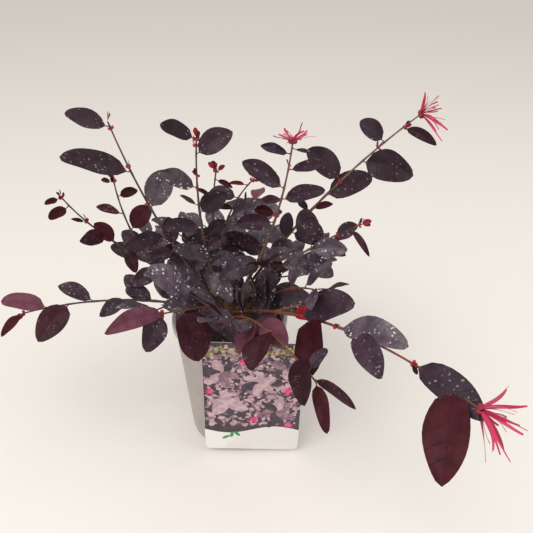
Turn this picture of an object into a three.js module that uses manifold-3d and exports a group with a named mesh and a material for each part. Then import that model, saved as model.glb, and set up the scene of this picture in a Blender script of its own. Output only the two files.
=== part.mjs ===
// A young Chinese fringe flower (Loropetalum) in its nursery pot, with a plant card hung on the rim.
// Millimetres, +Z up. The origin is the centre of the pot's flat underside, and -Y is the front.
import * as THREE from "three";
import { mergeVertices } from "three/addons/utils/BufferGeometryUtils.js";
import Module from "manifold-3d";

const wasm = await Module();
wasm.setup();

// Room between pieces that touch
const GAP = 0.3;
const DEGREE = Math.PI / 180;

// Pot: a round moulded shell that widens upwards to a rolled rim
const POT_HEIGHT = 140;
const POT_FOOT_RADIUS = 43.5;
const POT_TOP_RADIUS = 55;
const POT_WALL = 1.5;
const POT_FLOOR = 2.2;
const POT_SIDES = 48;
const RIM_HEIGHT = 8;
const RIM_OUT = 2.4;
const RIM_ROUNDING = 0.8;
const FOOT_ROUNDING = 2;
const DRAIN_HOLES = 6;
const DRAIN_RADIUS = 4;
const DRAIN_CIRCLE = 31;
const DRAIN_SIDES = 16;

// Soil: filled to a little below the rim, level where the stem stands
const SOIL_EDGE = 128;
const SOIL_LEVEL = 131.5;
const SOIL_LEVEL_RADIUS = 24;

// Plant card: a thin laminated sheet that leans on the rim, with a hook over it
const CARD_WIDTH = 95;
const CARD_HEIGHT = 147;
const CARD_THICKNESS = 0.7;
const CARD_CORNER = 5;
const CARD_CENTRE_X = 21;
const CARD_FOOT = { y: -50.2, z: 5 };
const CARD_LEAN = 3.4;
const CARD_SKEW = 1.4;
const HOOK_X = 9;
const HOOK_WIDTH = 16;
const HOOK_OVER_RIM = GAP + CARD_THICKNESS / 2;
const HOOK_INNER_Y = -47.2;
const HOOK_DEPTH = 22;

// Stem: one short woody stem with a flared, lobed foot and a slight lean
const STEM_HEIGHT = 32;
const STEM_RADIUS = 6.6;
const STEM_TOP_RADIUS = 4.6;
const STEM_FLARE = 5;
const STEM_FLARE_HEIGHT = 5;
const STEM_LOBES = 5;
const STEM_LOBE_DEPTH = 0.4;
const STEM_LEAN = { x: -1.2, y: 0.8 };
const STEM_SIDES = 20;
const STEM_RINGS = [0, 0.06, 0.14, 0.25, 0.4, 0.6, 0.8, 1];

// Canes: each is a bare bough that leaves the stem, then a leafy shoot that goes on from its tip
const CANE_STEPS = 14;
const SHOOT_RING_STEP = 2;
const TWIG_RING_STEP = 4;
const CANE_RADIUS = 1.6;
const CANE_TIP_RADIUS = 0.6;
const BOUGH_GAP = 0.45;
const BOUGH_SIDES = 6;
const SHOOT_SIDES = 5;
// A ring nearer than this share to a limb's end is left out
const END_SHARE = 0.02;

// Side shoots: thin twigs that carry a few leaves and fill the crown between the measured leaves
const SIDE_SHOOT_RADIUS = 1;
const SIDE_SHOOT_SIDES = 3;
const SIDE_SHOOT_RISE = 8;
const SIDE_SHOOT_RISE_SPREAD = 14;
const SIDE_SHOOT_BEND = 12;
const SIDE_SHOOT_SWAY = 20;
const SIDE_SHOOT_FACE_RISE = 50;
// Where the way is taken, a side shoot tries these other swings in turn
const SIDE_SHOOT_SWINGS = [0, 25, -25, 50];
const SIDE_SHOOT_LEAVES = [34, 38, 30];
const SIDE_LEAF_TURN = 55;
const SIDE_LEAF_CLOSING = 15;
const SHOOT_ROOM = 4;

// Inner leaves, which fill the middle of the crown: they grow up to this far along an upright cane and
// a low one, at this spacing, to either side and by pairs to the front and back
const INNER_SPACING = 11;
const INNER_UNTIL = { upright: 64, low: 58 };
const LOW_RISE = 25;
const INNER_TURN = 62;
const INNER_LEAN = 34;
const INNER_LENGTH = { least: 24, spread: 12 };

// A cane's shoots, petals and inner leaves each draw from a stream of their own, this far from its seed
const SHOOT_STREAM = 1;
const PETAL_STREAM = 2;
const INNER_STREAM = 5;

// Leaves: oval with a short point, on a short stalk, folded a little along the midrib
const LEAF_BREADTH = 0.56;
const LEAF_BREADTH_SPREAD = 0.12;
const LEAF_THICKNESS = 0.026;
const LEAF_UNDERSIDE = 0.2;
const LEAF_STALK = 3;
const STALK_RADIUS = 0.7;
const STALK_TOP_RADIUS = 0.56;
const LEAF_ARCH = 0.08;
const LEAF_MEAN_ARCH = 0.6;
const LEAF_STATIONS = [0.16, 0.42, 0.72];
const LEAF_SHOULDER = 0.9;
const LEAF_FULLNESS = 0.6;
const LEAF_TILT = 12;
const LEAF_ROLL = 9;
// Each blade keeps a slab of space of this half thickness, a thinner one among blades of its own cane
const LEAF_ROOM = 2.6;
const OWN_LEAF_ROOM = 1.1;
const LEAF_TRIES = [0, 12, -12, 24, -24, 36, -36];
const OUTLINE_POINTS = 10;
const BLADE_ROWS = 10;
const BLADE_COLUMNS = 4;
// Room kept from the pot and from the card, to either side of it
const POT_ROOM = 2;
const CARD_ROOM = 4;

// Flowers: a bunch of narrow straps that spring from a small cup at a shoot's tip
const PETALS = 12;
const PETAL_WIDTH = 2;
const PETAL_NARROWING = 0.15;
const PETAL_THICKNESS = 0.8;
const PETAL_ROOT = 0.7;
const PETAL_MIDDLE = 0.55;
const PETAL_REACH = { least: 0.8, spread: 0.25 };
const PETAL_DROOP = { least: 0.1, spread: 0.25 };
const GOLDEN_ANGLE = 137.5;
const CUP_RADIUS = 3.8;
const FLOWER_ROOM = 9;
const FLOWER_MIDDLE = 0.5;

// The plant's canes, clockwise from the left as seen from the front. Heights and lengths are mm, angles
// are degrees: azimuth is the compass direction in which a cane sets off, 0 to the right and 90 to the
// back, turn is how far it swings, rise and tipRise are its slopes at the stem and at the tip, and face
// is where its leaves look. Each leaf is [share of the cane, turn away from it, blade length], then
// where needed its lean towards the face and its breadth as a share of a plain leaf's. Each side shoot
// is [share of the cane, swing away from it, length].
const CANES = [
  {
    name: "far_left", height: 150, azimuth: 145, turn: 65, rise: 8, tipRise: 62, length: 198,
    face: [-120, 45], bareShare: 0.3, seed: 31,
    leaves: [
      [0.38, 60, 30], [0.5, 10, 28], [0.58, 145, 22], [0.64, -10, 26], [0.69, 35, 28],
      [0.82, 35, 12, 0, 0.6], [0.94, 90, 20], [1.0, 80, 13],
    ],
    shoots: [[0.34, -55, 50]],
  },
  {
    name: "upper_left", height: 145, azimuth: 175, turn: -42, rise: 16, tipRise: 80, length: 175,
    face: [-110, 45], bareShare: 0.28, seed: 22,
    leaves: [
      [0.4, -25, 28], [0.54, 10, 30], [0.7, -65, 28, 0, 1.2], [0.8, 65, 27, 0, 0.6],
      [0.9, -85, 18], [0.98, 70, 9],
    ],
    shoots: [[0.33, -60, 45]],
  },
  {
    name: "tall_left", height: 150, azimuth: 190, turn: -20, rise: 57, tipRise: 73, length: 208,
    face: [-110, 40], bareShare: 0.07, seed: 13,
    leaves: [
      [0.09, -4, 46, 10, 1.2], [0.15, 20, 40], [0.28, 15, 26], [0.38, 80, 26], [0.4, -20, 26],
      [0.45, 65, 36, 0, 0.8], [0.6, -50, 36, 0, 1.2], [0.78, 55, 57, 0, 0.68], [0.98, 54, 34, 0, 0.9],
    ],
    shoots: [[0.17, 70, 48], [0.3, -60, 46]],
  },
  {
    name: "upright_left", height: 158, azimuth: 205, turn: 0, rise: 74, tipRise: 95, length: 170,
    face: [-95, 35], bareShare: 0.2, seed: 44,
    leaves: [
      [0.28, 20, 26], [0.38, -60, 22], [0.44, -55, 24], [0.52, 85, 32, 0, 0.9], [0.6, -50, 32],
      [0.64, 60, 16, 0, 0.5], [0.74, 65, 31], [0.92, -55, 34, 0, 1.1], [1.0, 75, 29],
      [0.24, -150, 34, 25],
    ],
    shoots: [[0.26, -70, 44]],
  },
  {
    name: "thin_back", height: 156, azimuth: 130, turn: -65, rise: 68, tipRise: 68, length: 128,
    face: [-90, 40], bareShare: 0.24, seed: 55,
    leaves: [
      [0.72, -95, 16, 0, 0.7], [0.78, 65, 16, 0, 0.5], [0.92, -110, 16, 0, 0.6], [0.97, -45, 8],
      [0.98, 50, 8], [0.3, 150, 32, 25], [0.42, -90, 28, -20],
    ],
    shoots: [],
  },
  {
    name: "back_centre", height: 147, azimuth: 122, turn: -100, rise: 68, tipRise: 40, length: 135,
    face: [-90, 45], bareShare: 0.26, seed: 66,
    leaves: [
      [0.42, -100, 22], [0.54, 125, 32], [0.66, -50, 38], [0.82, 110, 28],
      [0.94, 130, 16, 0, 0.5], [1.0, 70, 8], [0.3, -140, 34, 25],
    ],
    shoots: [[0.32, 70, 48], [0.45, -80, 40]],
  },
  {
    name: "upright_flower", height: 158, azimuth: -20, turn: 30, rise: 60, tipRise: 84, length: 175,
    face: [-85, 35], bareShare: 0.15, seed: 77,
    leaves: [
      [0.2, 95, 30], [0.26, 90, 34], [0.34, 135, 40], [0.42, 115, 42], [0.57, 115, 32],
      [0.62, 110, 20], [0.7, -62, 36, 0, 0.75], [0.76, 72, 40, 0, 0.8], [0.86, -75, 28, 0, 0.75],
      [0.94, 85, 24, 0, 0.7], [0.97, -100, 16, 0, 0.4], [0.17, -90, 30, 15],
    ],
    shoots: [[0.3, -60, 44]],
    flower: { aim: [90, 62], opening: [20, 75], reach: 21 },
  },
  {
    name: "tall_right", height: 152, azimuth: 8, turn: -8, rise: 59, tipRise: 40, length: 248,
    face: [-75, 40], bareShare: 0.16, seed: 88,
    leaves: [
      [0.24, -10, 28], [0.28, -150, 34], [0.34, 30, 24], [0.38, -70, 30], [0.49, 95, 12],
      [0.5, -30, 17, 0, 0.7], [0.57, -25, 42], [0.65, 92, 38, 0, 1.05], [0.75, -57, 43, 0, 1.1],
      [0.85, 98, 25, 0, 1.1], [0.93, -66, 29, 0, 0.55], [0.2, 130, 32, 20],
    ],
    shoots: [[0.22, 70, 46]],
    flower: { aim: [-15, 20], opening: [10, 65], reach: 24 },
  },
  {
    name: "right", height: 147, azimuth: -9, turn: 17, rise: 58, tipRise: 20, length: 153,
    face: [-70, 45], bareShare: 0.24, seed: 99,
    leaves: [
      [0.44, -165, 30], [0.57, -60, 36], [0.64, -30, 34], [0.67, 70, 34, 0, 1.2], [0.76, 110, 26],
      [0.82, 0, 21], [0.93, -80, 28, 0, 0.4], [0.98, -5, 9],
    ],
    shoots: [[0.32, 75, 42]],
  },
  {
    name: "centre_right", height: 140, azimuth: -22, turn: -40, rise: 53, tipRise: 22, length: 126,
    face: [-80, 40], bareShare: 0.14, seed: 110,
    leaves: [
      [0.18, -30, 38, 20], [0.32, 20, 42], [0.43, -25, 45], [0.7, 60, 26], [0.86, 50, 31],
      [0.97, -40, 27], [0.2, 100, 34, 20],
    ],
    shoots: [[0.36, 70, 42]],
  },
  {
    name: "long_front_right", height: 146, azimuth: -47, turn: -9, rise: 33, tipRise: -1, length: 282,
    face: [-85, 40], bareShare: 0.13, seed: 121,
    leaves: [
      [0.26, -95, 44, 30, 1.15], [0.37, 22, 53], [0.41, -52, 53, 0, 1.1], [0.33, 4, 30, 12, 0.7],
      [0.54, 6, 58, 0, 0.65], [0.59, -26, 46, -15, 0.75], [0.81, -5, 58, 0, 0.7],
      [0.92, -57, 61, -5, 0.9], [0.17, 60, 34, 20],
    ],
    shoots: [[0.22, 65, 44]],
    flower: { aim: [-25, -14], opening: [10, 65], reach: 32 },
  },
  {
    name: "front_low", height: 140, azimuth: -70, turn: 12, rise: 44, tipRise: -11, length: 173,
    face: [-85, 35], bareShare: 0.15, seed: 132,
    leaves: [
      [0.24, 85, 32, 15], [0.44, -60, 32, 0, 1.2], [0.48, 0, 40], [0.58, -48, 40, 0, 1.25],
      [0.84, -22, 48, 0, 0.65], [0.94, 100, 20], [0.98, 12, 41, 0, 0.35], [1.0, -28, 36, 0, 0.6],
      [0.22, -80, 36, 20],
    ],
    shoots: [[0.36, -80, 40]],
  },
  {
    name: "front_left", height: 146, azimuth: 262, turn: -50, rise: 50, tipRise: 8, length: 122,
    face: [-95, 40], bareShare: 0.15, seed: 143,
    leaves: [
      [0.56, 115, 44, 25, 1.2], [0.64, -40, 55, 0, 0.9], [0.75, 98, 43, 0, 1.85],
      [0.91, 50, 33, 0, 1.2], [0.9, 8, 60, 0, 0.5], [0.2, 70, 34, 20],
    ],
    shoots: [[0.38, -90, 40]],
  },
  {
    name: "low_left", height: 140, azimuth: 163, turn: 47, rise: 7, tipRise: 2, length: 197,
    face: [-100, 45], bareShare: 0.22, seed: 154,
    leaves: [
      [0.28, -60, 34], [0.36, -20, 30], [0.41, -50, 30], [0.49, 30, 30], [0.66, -30, 35, 0, 0.8],
      [0.78, 45, 43, 0, 1.1], [0.88, -20, 40, 0, 0.85], [1.0, 40, 28, 0, 0.55],
    ],
    shoots: [[0.27, 70, 42]],
  },
  {
    name: "low_back_left", height: 141, azimuth: 112, turn: 20, rise: 20, tipRise: -4, length: 140,
    face: [120, 55], bareShare: 0.28, seed: 165,
    leaves: [
      [0.4, 60, 34], [0.52, -60, 40], [0.64, 60, 42], [0.76, -55, 38], [0.88, 50, 36], [0.98, -10, 32],
    ],
    shoots: [[0.35, -60, 50], [0.5, 70, 44]],
  },
  {
    name: "low_back", height: 151, azimuth: 84, turn: -10, rise: 32, tipRise: 6, length: 146,
    face: [90, 55], bareShare: 0.3, seed: 176,
    leaves: [
      [0.42, -60, 36], [0.54, 60, 42], [0.66, -60, 40], [0.78, 55, 36], [0.88, -50, 34], [0.98, 10, 30],
    ],
    shoots: [[0.38, 65, 48], [0.5, -70, 42]],
  },
  {
    name: "low_back_right", height: 143, azimuth: 48, turn: -16, rise: 22, tipRise: -2, length: 142,
    face: [50, 55], bareShare: 0.28, seed: 187,
    leaves: [
      [0.4, 60, 36], [0.52, -60, 42], [0.64, 55, 40], [0.76, -55, 38], [0.88, 50, 34], [0.98, -10, 30],
    ],
    shoots: [[0.35, -65, 46], [0.5, 65, 44]],
  },
];

const root = new THREE.Group();
root.name = "potted_fringe_flower";

function addNode(name, geometry, look) {
  const mesh = new THREE.Mesh(geometry, new THREE.MeshStandardMaterial(look));
  mesh.name = name;
  root.add(mesh);
}

// A repeatable stream of numbers from 0 to 1
function randomStream(seed) {
  let state = seed >>> 0;
  return () => {
    state = (state + 0x6d2b79f5) >>> 0;
    let t = state;
    t = Math.imul(t ^ (t >>> 15), t | 1);
    t ^= t + Math.imul(t ^ (t >>> 7), t | 61);
    return ((t ^ (t >>> 14)) >>> 0) / 4294967296;
  };
}

// A closed geometry as a solid, with its shared vertices merged
function solidOf(geometry) {
  const bare = geometry.clone();
  for (const name of Object.keys(bare.attributes)) if (name !== "position") bare.deleteAttribute(name);
  const merged = mergeVertices(bare, 1e-4);
  return new wasm.Manifold(
    new wasm.Mesh({
      numProp: 3,
      vertProperties: new Float32Array(merged.attributes.position.array),
      triVerts: new Uint32Array(merged.index.array),
    }),
  );
}

function geometryOf(solid) {
  const mesh = solid.getMesh();
  const geometry = new THREE.BufferGeometry();
  geometry.setAttribute("position", new THREE.BufferAttribute(mesh.vertProperties, 3));
  geometry.setIndex(new THREE.BufferAttribute(mesh.triVerts, 1));
  geometry.computeVertexNormals();
  return geometry;
}

// The largest piece of a solid, so that a loose scrap is dropped
function largestPiece(solid) {
  return solid.decompose().reduce((best, piece) => (piece.volume() > best.volume() ? piece : best));
}

function vector(x, y, z) {
  return new THREE.Vector3(x, y, z);
}

// The unit vector at an azimuth and an elevation, in degrees
function direction(azimuth, elevation) {
  const a = azimuth * DEGREE;
  const e = elevation * DEGREE;
  return vector(Math.cos(e) * Math.cos(a), Math.cos(e) * Math.sin(a), Math.sin(e));
}

// Rings of points joined into a closed skin. An end closes on its point where one is given, such as the
// centre of a lobed ring or the tip of a leaf, and is a plain flat cap otherwise.
function skin(rings, endPoint = null, startPoint = null) {
  const sides = rings[0].length;
  const last = (rings.length - 1) * sides;
  const points = rings.flat();
  const faces = [];
  for (let ring = 0; ring + 1 < rings.length; ring++) {
    for (let i = 0; i < sides; i++) {
      const a = ring * sides + i;
      const b = ring * sides + ((i + 1) % sides);
      faces.push(a, b, b + sides, a, b + sides, a + sides);
    }
  }
  for (let i = 1; i + 1 < sides; i++) {
    if (!startPoint) faces.push(0, i + 1, i);
    if (!endPoint) faces.push(last, last + i, last + i + 1);
  }
  if (endPoint) {
    const tip = points.push(endPoint) - 1;
    for (let i = 0; i < sides; i++) faces.push(last + i, last + ((i + 1) % sides), tip);
  }
  if (startPoint) {
    const foot = points.push(startPoint) - 1;
    for (let i = 0; i < sides; i++) faces.push((i + 1) % sides, i, foot);
  }
  const positions = points.flatMap((p) => [p.x, p.y, p.z]);
  const geometry = new THREE.BufferGeometry();
  geometry.setAttribute("position", new THREE.Float32BufferAttribute(positions, 3));
  geometry.setIndex(faces);
  return geometry;
}

// A tapering limb along a line of points, with flat ends
function limb(points, startRadius, endRadius, sides) {
  let across = null;
  const rings = points.map((point, k) => {
    const before = points[Math.max(k - 1, 0)];
    const after = points[Math.min(k + 1, points.length - 1)];
    const heading = after.clone().sub(before).normalize();
    if (!across) {
      const reference = Math.abs(heading.z) < 0.9 ? vector(0, 0, 1) : vector(1, 0, 0);
      across = reference.cross(heading).normalize();
    }
    across.addScaledVector(heading, -across.dot(heading)).normalize();
    const up = heading.clone().cross(across);
    const radius = startRadius + ((endRadius - startRadius) * k) / (points.length - 1);
    return Array.from({ length: sides }, (_, i) => {
      const angle = (2 * Math.PI * i) / sides;
      return point
        .clone()
        .addScaledVector(across, radius * Math.cos(angle))
        .addScaledVector(up, radius * Math.sin(angle));
    });
  });
  return skin(rings);
}

// Radius of the pot's outer wall, without the rim, at a height
function potRadius(z) {
  return POT_FOOT_RADIUS + ((POT_TOP_RADIUS - POT_FOOT_RADIUS) * z) / POT_HEIGHT;
}

function lathe(profile) {
  const points = profile.map(([radius, z]) => new THREE.Vector2(radius, z));
  return new THREE.LatheGeometry(points, POT_SIDES).rotateX(Math.PI / 2);
}

// The card's own frame: X across it, Y up it and Z out of its printed side
function cardFrame() {
  const turn = new THREE.Matrix4().makeRotationX((90 + CARD_LEAN) * DEGREE);
  const skew = new THREE.Matrix4().makeRotationZ(-CARD_SKEW * DEGREE);
  const place = new THREE.Matrix4().makeTranslation(CARD_CENTRE_X, CARD_FOOT.y, CARD_FOOT.z);
  return place.multiply(turn).multiply(skew);
}

function makeCard() {
  const left = -CARD_WIDTH / 2;
  const right = CARD_WIDTH / 2;
  const outline = new THREE.Shape();
  outline.moveTo(left + CARD_CORNER, 0);
  outline.lineTo(right - CARD_CORNER, 0);
  outline.absarc(right - CARD_CORNER, CARD_CORNER, CARD_CORNER, -Math.PI / 2, 0);
  outline.absarc(right - CARD_CORNER, CARD_HEIGHT - CARD_CORNER, CARD_CORNER, 0, Math.PI / 2);
  outline.absarc(left + CARD_CORNER, CARD_HEIGHT - CARD_CORNER, CARD_CORNER, Math.PI / 2, Math.PI);
  outline.absarc(left + CARD_CORNER, CARD_CORNER, CARD_CORNER, Math.PI, 1.5 * Math.PI);
  const sheet = new THREE.ExtrudeGeometry(outline, {
    depth: CARD_THICKNESS,
    bevelEnabled: false,
    curveSegments: 4,
  }).applyMatrix4(cardFrame());
  return largestPiece(solidOf(sheet).add(hookSolid(0)));
}

// The hook behind the card, over the rim and down inside the pot, with room added all round
function hookSolid(room) {
  const top = POT_HEIGHT + HOOK_OVER_RIM;
  const backY = CARD_FOOT.y - Math.tan(CARD_LEAN * DEGREE) * (top - CARD_FOOT.z) - CARD_THICKNESS / 2;
  const length = HOOK_INNER_Y - backY;
  const over = new THREE.BoxGeometry(HOOK_WIDTH + 2 * room, length + 2 * room, CARD_THICKNESS + 2 * room);
  over.translate(HOOK_X, backY + length / 2, top);
  const down = new THREE.BoxGeometry(HOOK_WIDTH + 2 * room, CARD_THICKNESS + 2 * room, HOOK_DEPTH + 2 * room);
  const downY = HOOK_INNER_Y - CARD_THICKNESS / 2;
  down.translate(HOOK_X, downY, top + CARD_THICKNESS / 2 - HOOK_DEPTH / 2);
  return solidOf(over).add(solidOf(down));
}

function makePot() {
  const rimFoot = POT_HEIGHT - RIM_HEIGHT;
  const outside = POT_TOP_RADIUS + RIM_OUT;
  let pot = solidOf(
    lathe([
      [0, 0],
      [POT_FOOT_RADIUS - FOOT_ROUNDING, 0],
      [POT_FOOT_RADIUS, FOOT_ROUNDING],
      [potRadius(rimFoot), rimFoot],
      [outside - RIM_ROUNDING, rimFoot],
      [outside, rimFoot + RIM_ROUNDING],
      [outside, POT_HEIGHT - RIM_ROUNDING],
      [outside - RIM_ROUNDING, POT_HEIGHT],
      [POT_TOP_RADIUS - POT_WALL, POT_HEIGHT],
      [potRadius(POT_FLOOR) - POT_WALL, POT_FLOOR],
      [0, POT_FLOOR],
    ]),
  );
  for (let hole = 0; hole < DRAIN_HOLES; hole++) {
    const angle = (2 * Math.PI * (hole + 0.5)) / DRAIN_HOLES;
    const drill = new THREE.CylinderGeometry(DRAIN_RADIUS, DRAIN_RADIUS, 4 * POT_FLOOR, DRAIN_SIDES)
      .rotateX(Math.PI / 2)
      .translate(DRAIN_CIRCLE * Math.cos(angle), DRAIN_CIRCLE * Math.sin(angle), 0);
    pot = pot.subtract(solidOf(drill));
  }
  return pot;
}

function makeSoil() {
  const inside = (z) => potRadius(z) - POT_WALL - GAP;
  const bottom = POT_FLOOR + GAP;
  const soil = solidOf(
    lathe([
      [0, bottom],
      [inside(bottom), bottom],
      [inside(SOIL_EDGE), SOIL_EDGE],
      [SOIL_LEVEL_RADIUS, SOIL_LEVEL],
      [0, SOIL_LEVEL],
    ]),
  );
  return soil.subtract(hookSolid(GAP));
}

// Centre of the stem at a height above the soil
function stemCentre(height) {
  const share = height / STEM_HEIGHT;
  return vector(STEM_LEAN.x * share, STEM_LEAN.y * share, SOIL_LEVEL + GAP + height);
}

// Radius of the stem at a height above the soil, on the side that an angle gives
function stemRadius(height, angle) {
  const plain = STEM_RADIUS + ((STEM_TOP_RADIUS - STEM_RADIUS) * height) / STEM_HEIGHT;
  const flare = STEM_FLARE * Math.exp(-height / STEM_FLARE_HEIGHT);
  return plain + flare * (1 - STEM_LOBE_DEPTH + STEM_LOBE_DEPTH * Math.cos(STEM_LOBES * angle));
}

function makeStem() {
  const rings = STEM_RINGS.map((share) => {
    const height = share * STEM_HEIGHT;
    const centre = stemCentre(height);
    return Array.from({ length: STEM_SIDES }, (_, i) => {
      const angle = (2 * Math.PI * i) / STEM_SIDES;
      const radius = stemRadius(height, angle);
      return centre.clone().add(vector(radius * Math.cos(angle), radius * Math.sin(angle), 0));
    });
  });
  return skin(rings, stemCentre(STEM_HEIGHT), stemCentre(0));
}

// The point where a cane sets off, with its round end just clear of the stem's side
function caneSeat(cane) {
  const height = cane.height - SOIL_LEVEL - GAP;
  const angle = cane.azimuth * DEGREE;
  const up = CANE_RADIUS * Math.cos(cane.rise * DEGREE);
  const inwards = CANE_RADIUS * Math.sin(cane.rise * DEGREE);
  const atTop = stemRadius(height + up, angle) + inwards;
  const atFoot = stemRadius(height - up, angle) - inwards;
  const out = Math.max(atTop, atFoot) + GAP;
  return stemCentre(height).addScaledVector(direction(cane.azimuth, 0), out);
}

// The line of a cane: points in equal steps, with its slope and swing changing evenly on the way
function growLine(start, cane) {
  const points = [start.clone()];
  for (let step = 0; step < CANE_STEPS; step++) {
    const share = (step + 0.5) / CANE_STEPS;
    const azimuth = cane.azimuth + cane.turn * share;
    const rise = cane.rise + (cane.tipRise - cane.rise) * share;
    const next = points[step].clone();
    points.push(next.addScaledVector(direction(azimuth, rise), cane.length / CANE_STEPS));
  }
  return points;
}

// The point and the heading at a share of a line
function along(points, share) {
  const place = Math.min(Math.max(share, 0), 1) * (points.length - 1);
  const step = Math.min(Math.floor(place), points.length - 2);
  const heading = points[step + 1].clone().sub(points[step]);
  const point = points[step].clone().addScaledVector(heading, place - step);
  return { point, heading: heading.normalize() };
}

// The part of a line between two shares of it, with every point of it or every second or fourth one
function stretch(points, from, to, step = 1) {
  const steps = points.length - 1;
  const isInside = (share) => share > from + END_SHARE && share < to - END_SHARE;
  const inner = points.filter((_, k) => k % step === 0 && isInside(k / steps));
  return [along(points, from).point, ...inner, along(points, to).point];
}

// The room that a blade keeps: an oval slab round its own plane
function leafRoom(leaf) {
  const centre = leaf.foot.clone().addScaledVector(leaf.axis, leaf.length / 2);
  centre.z += leaf.length * LEAF_ARCH * LEAF_MEAN_ARCH;
  return {
    centre,
    axis: leaf.axis,
    side: leaf.normal.clone().cross(leaf.axis),
    normal: leaf.normal,
    halfLength: leaf.length / 2,
    halfBreadth: leaf.breadth / 2,
  };
}

// Points round a blade's edge, closed on its first point
function leafEdge(room) {
  return Array.from({ length: OUTLINE_POINTS + 1 }, (_, i) => {
    const angle = (2 * Math.PI * i) / OUTLINE_POINTS;
    return room.centre
      .clone()
      .addScaledVector(room.axis, room.halfLength * Math.cos(angle))
      .addScaledVector(room.side, room.halfBreadth * Math.sin(angle));
  });
}

// True where a straight piece comes into a slab of a blade's shape, with some more room round it
function piecePierces(from, to, room, halfThickness, more) {
  const a = from.clone().sub(room.centre);
  const b = to.clone().sub(room.centre);
  const limit = halfThickness + more;
  let low = 0;
  let high = 1;
  const startDepth = a.dot(room.normal);
  const depthChange = b.dot(room.normal) - startDepth;
  if (Math.abs(depthChange) < 1e-9) {
    if (Math.abs(startDepth) > limit) return false;
  } else {
    const first = (-limit - startDepth) / depthChange;
    const second = (limit - startDepth) / depthChange;
    low = Math.max(low, Math.min(first, second));
    high = Math.min(high, Math.max(first, second));
    if (low > high) return false;
  }
  const x = a.dot(room.axis) / (room.halfLength + more);
  const y = a.dot(room.side) / (room.halfBreadth + more);
  const dx = b.dot(room.axis) / (room.halfLength + more) - x;
  const dy = b.dot(room.side) / (room.halfBreadth + more) - y;
  const square = dx * dx + dy * dy;
  let nearest = square > 1e-12 ? -(x * dx + y * dy) / square : low;
  nearest = Math.min(Math.max(nearest, low), high);
  const nearX = x + dx * nearest;
  const nearY = y + dy * nearest;
  return nearX * nearX + nearY * nearY < 1;
}

// What has grown so far: blades with their edges, limbs as straight pieces, and flowers as balls
const grown = { leaves: [], pieces: [], flowers: [] };

// True where a point is in or nearly at the pot, the card or the ground
function isTaken(point) {
  if (point.z < POT_ROOM) return true;
  const inPot = Math.hypot(point.x, point.y) < potRadius(point.z) + RIM_OUT + POT_ROOM;
  if (inPot && point.z < POT_HEIGHT + POT_ROOM) return true;
  const cardY = CARD_FOOT.y - Math.tan(CARD_LEAN * DEGREE) * (point.z - CARD_FOOT.z);
  const atCard = Math.abs(point.x - CARD_CENTRE_X) < CARD_WIDTH / 2 + POT_ROOM;
  const lowEnough = point.z < CARD_FOOT.z + CARD_HEIGHT + POT_ROOM;
  return atCard && lowEnough && Math.abs(point.y - cardY) < CARD_ROOM;
}

// Points spread over a blade
function bladePoints(room) {
  const points = [];
  for (let row = 0; row <= BLADE_ROWS; row++) {
    const place = (2 * row) / BLADE_ROWS - 1;
    const width = Math.sqrt(1 - place * place) * room.halfBreadth;
    for (let column = 0; column <= BLADE_COLUMNS; column++) {
      const across = (2 * column) / BLADE_COLUMNS - 1;
      const point = room.centre.clone().addScaledVector(room.axis, place * room.halfLength);
      points.push(point.addScaledVector(room.side, across * width));
    }
  }
  return points;
}

function leafIsClear(leaf, limbName) {
  const room = leafRoom(leaf);
  const edge = leafEdge(room);
  if (isTaken(leaf.foot) || bladePoints(room).some(isTaken)) return false;
  for (const flower of grown.flowers) {
    const distance = flower.centre.distanceTo(room.centre);
    if (distance < flower.room + room.halfBreadth && flower.limbName !== limbName) return false;
  }
  for (const piece of grown.pieces) {
    if (piece.limbName === limbName) continue;
    if (piecePierces(piece.from, piece.to, room, LEAF_ROOM, piece.radius)) return false;
  }
  for (const other of grown.leaves) {
    const reach = room.halfLength + other.room.halfLength + LEAF_ROOM;
    if (room.centre.distanceTo(other.room.centre) > reach) continue;
    const thick = other.limbName === limbName ? OWN_LEAF_ROOM : LEAF_ROOM;
    for (let i = 0; i < OUTLINE_POINTS; i++) {
      if (piecePierces(edge[i], edge[i + 1], other.room, thick, 0)) return false;
      if (piecePierces(other.edge[i], other.edge[i + 1], room, thick, 0)) return false;
    }
    if (other.limbName === limbName) continue;
    if (piecePierces(leaf.root, leaf.foot, other.room, thick, 0)) return false;
    if (piecePierces(other.root, other.foot, room, thick, 0)) return false;
  }
  return true;
}

// Grows one leaf from a line, turned away from it in the plane that its face vector looks on. Where it
// would touch another blade or limb it is tilted, and where no tilt helps it is left out.
function growLeaf(points, [share, turn, length, lean = 0, slim = 1], face, random, limbName) {
  const { point, heading } = along(points, share);
  const across = face.clone().cross(heading).normalize();
  const outward = heading.clone().cross(across);
  const tilt = lean + (random() - 0.5) * 2 * LEAF_TILT;
  const roll = (random() - 0.5) * 2 * LEAF_ROLL;
  const breadth = length * LEAF_BREADTH * slim * (1 + LEAF_BREADTH_SPREAD * (random() - 0.5));
  for (const extra of LEAF_TRIES) {
    const inPlane = heading
      .clone()
      .multiplyScalar(Math.cos(turn * DEGREE))
      .addScaledVector(across, Math.sin(turn * DEGREE));
    const lift = (tilt + extra) * DEGREE;
    const axis = inPlane.clone().multiplyScalar(Math.cos(lift)).addScaledVector(outward, Math.sin(lift));
    const flat = outward.clone().multiplyScalar(Math.cos(lift)).addScaledVector(inPlane, -Math.sin(lift));
    const normal = flat
      .clone()
      .multiplyScalar(Math.cos(roll * DEGREE))
      .addScaledVector(flat.clone().cross(axis), Math.sin(roll * DEGREE));
    const foot = point.clone().addScaledVector(axis, LEAF_STALK).addScaledVector(outward, CANE_RADIUS);
    const leaf = { root: point, foot, axis, normal, length, breadth, limbName };
    if (!leafIsClear(leaf, limbName)) continue;
    const room = leafRoom(leaf);
    grown.leaves.push({ ...leaf, room, edge: leafEdge(room) });
    return;
  }
}

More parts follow.
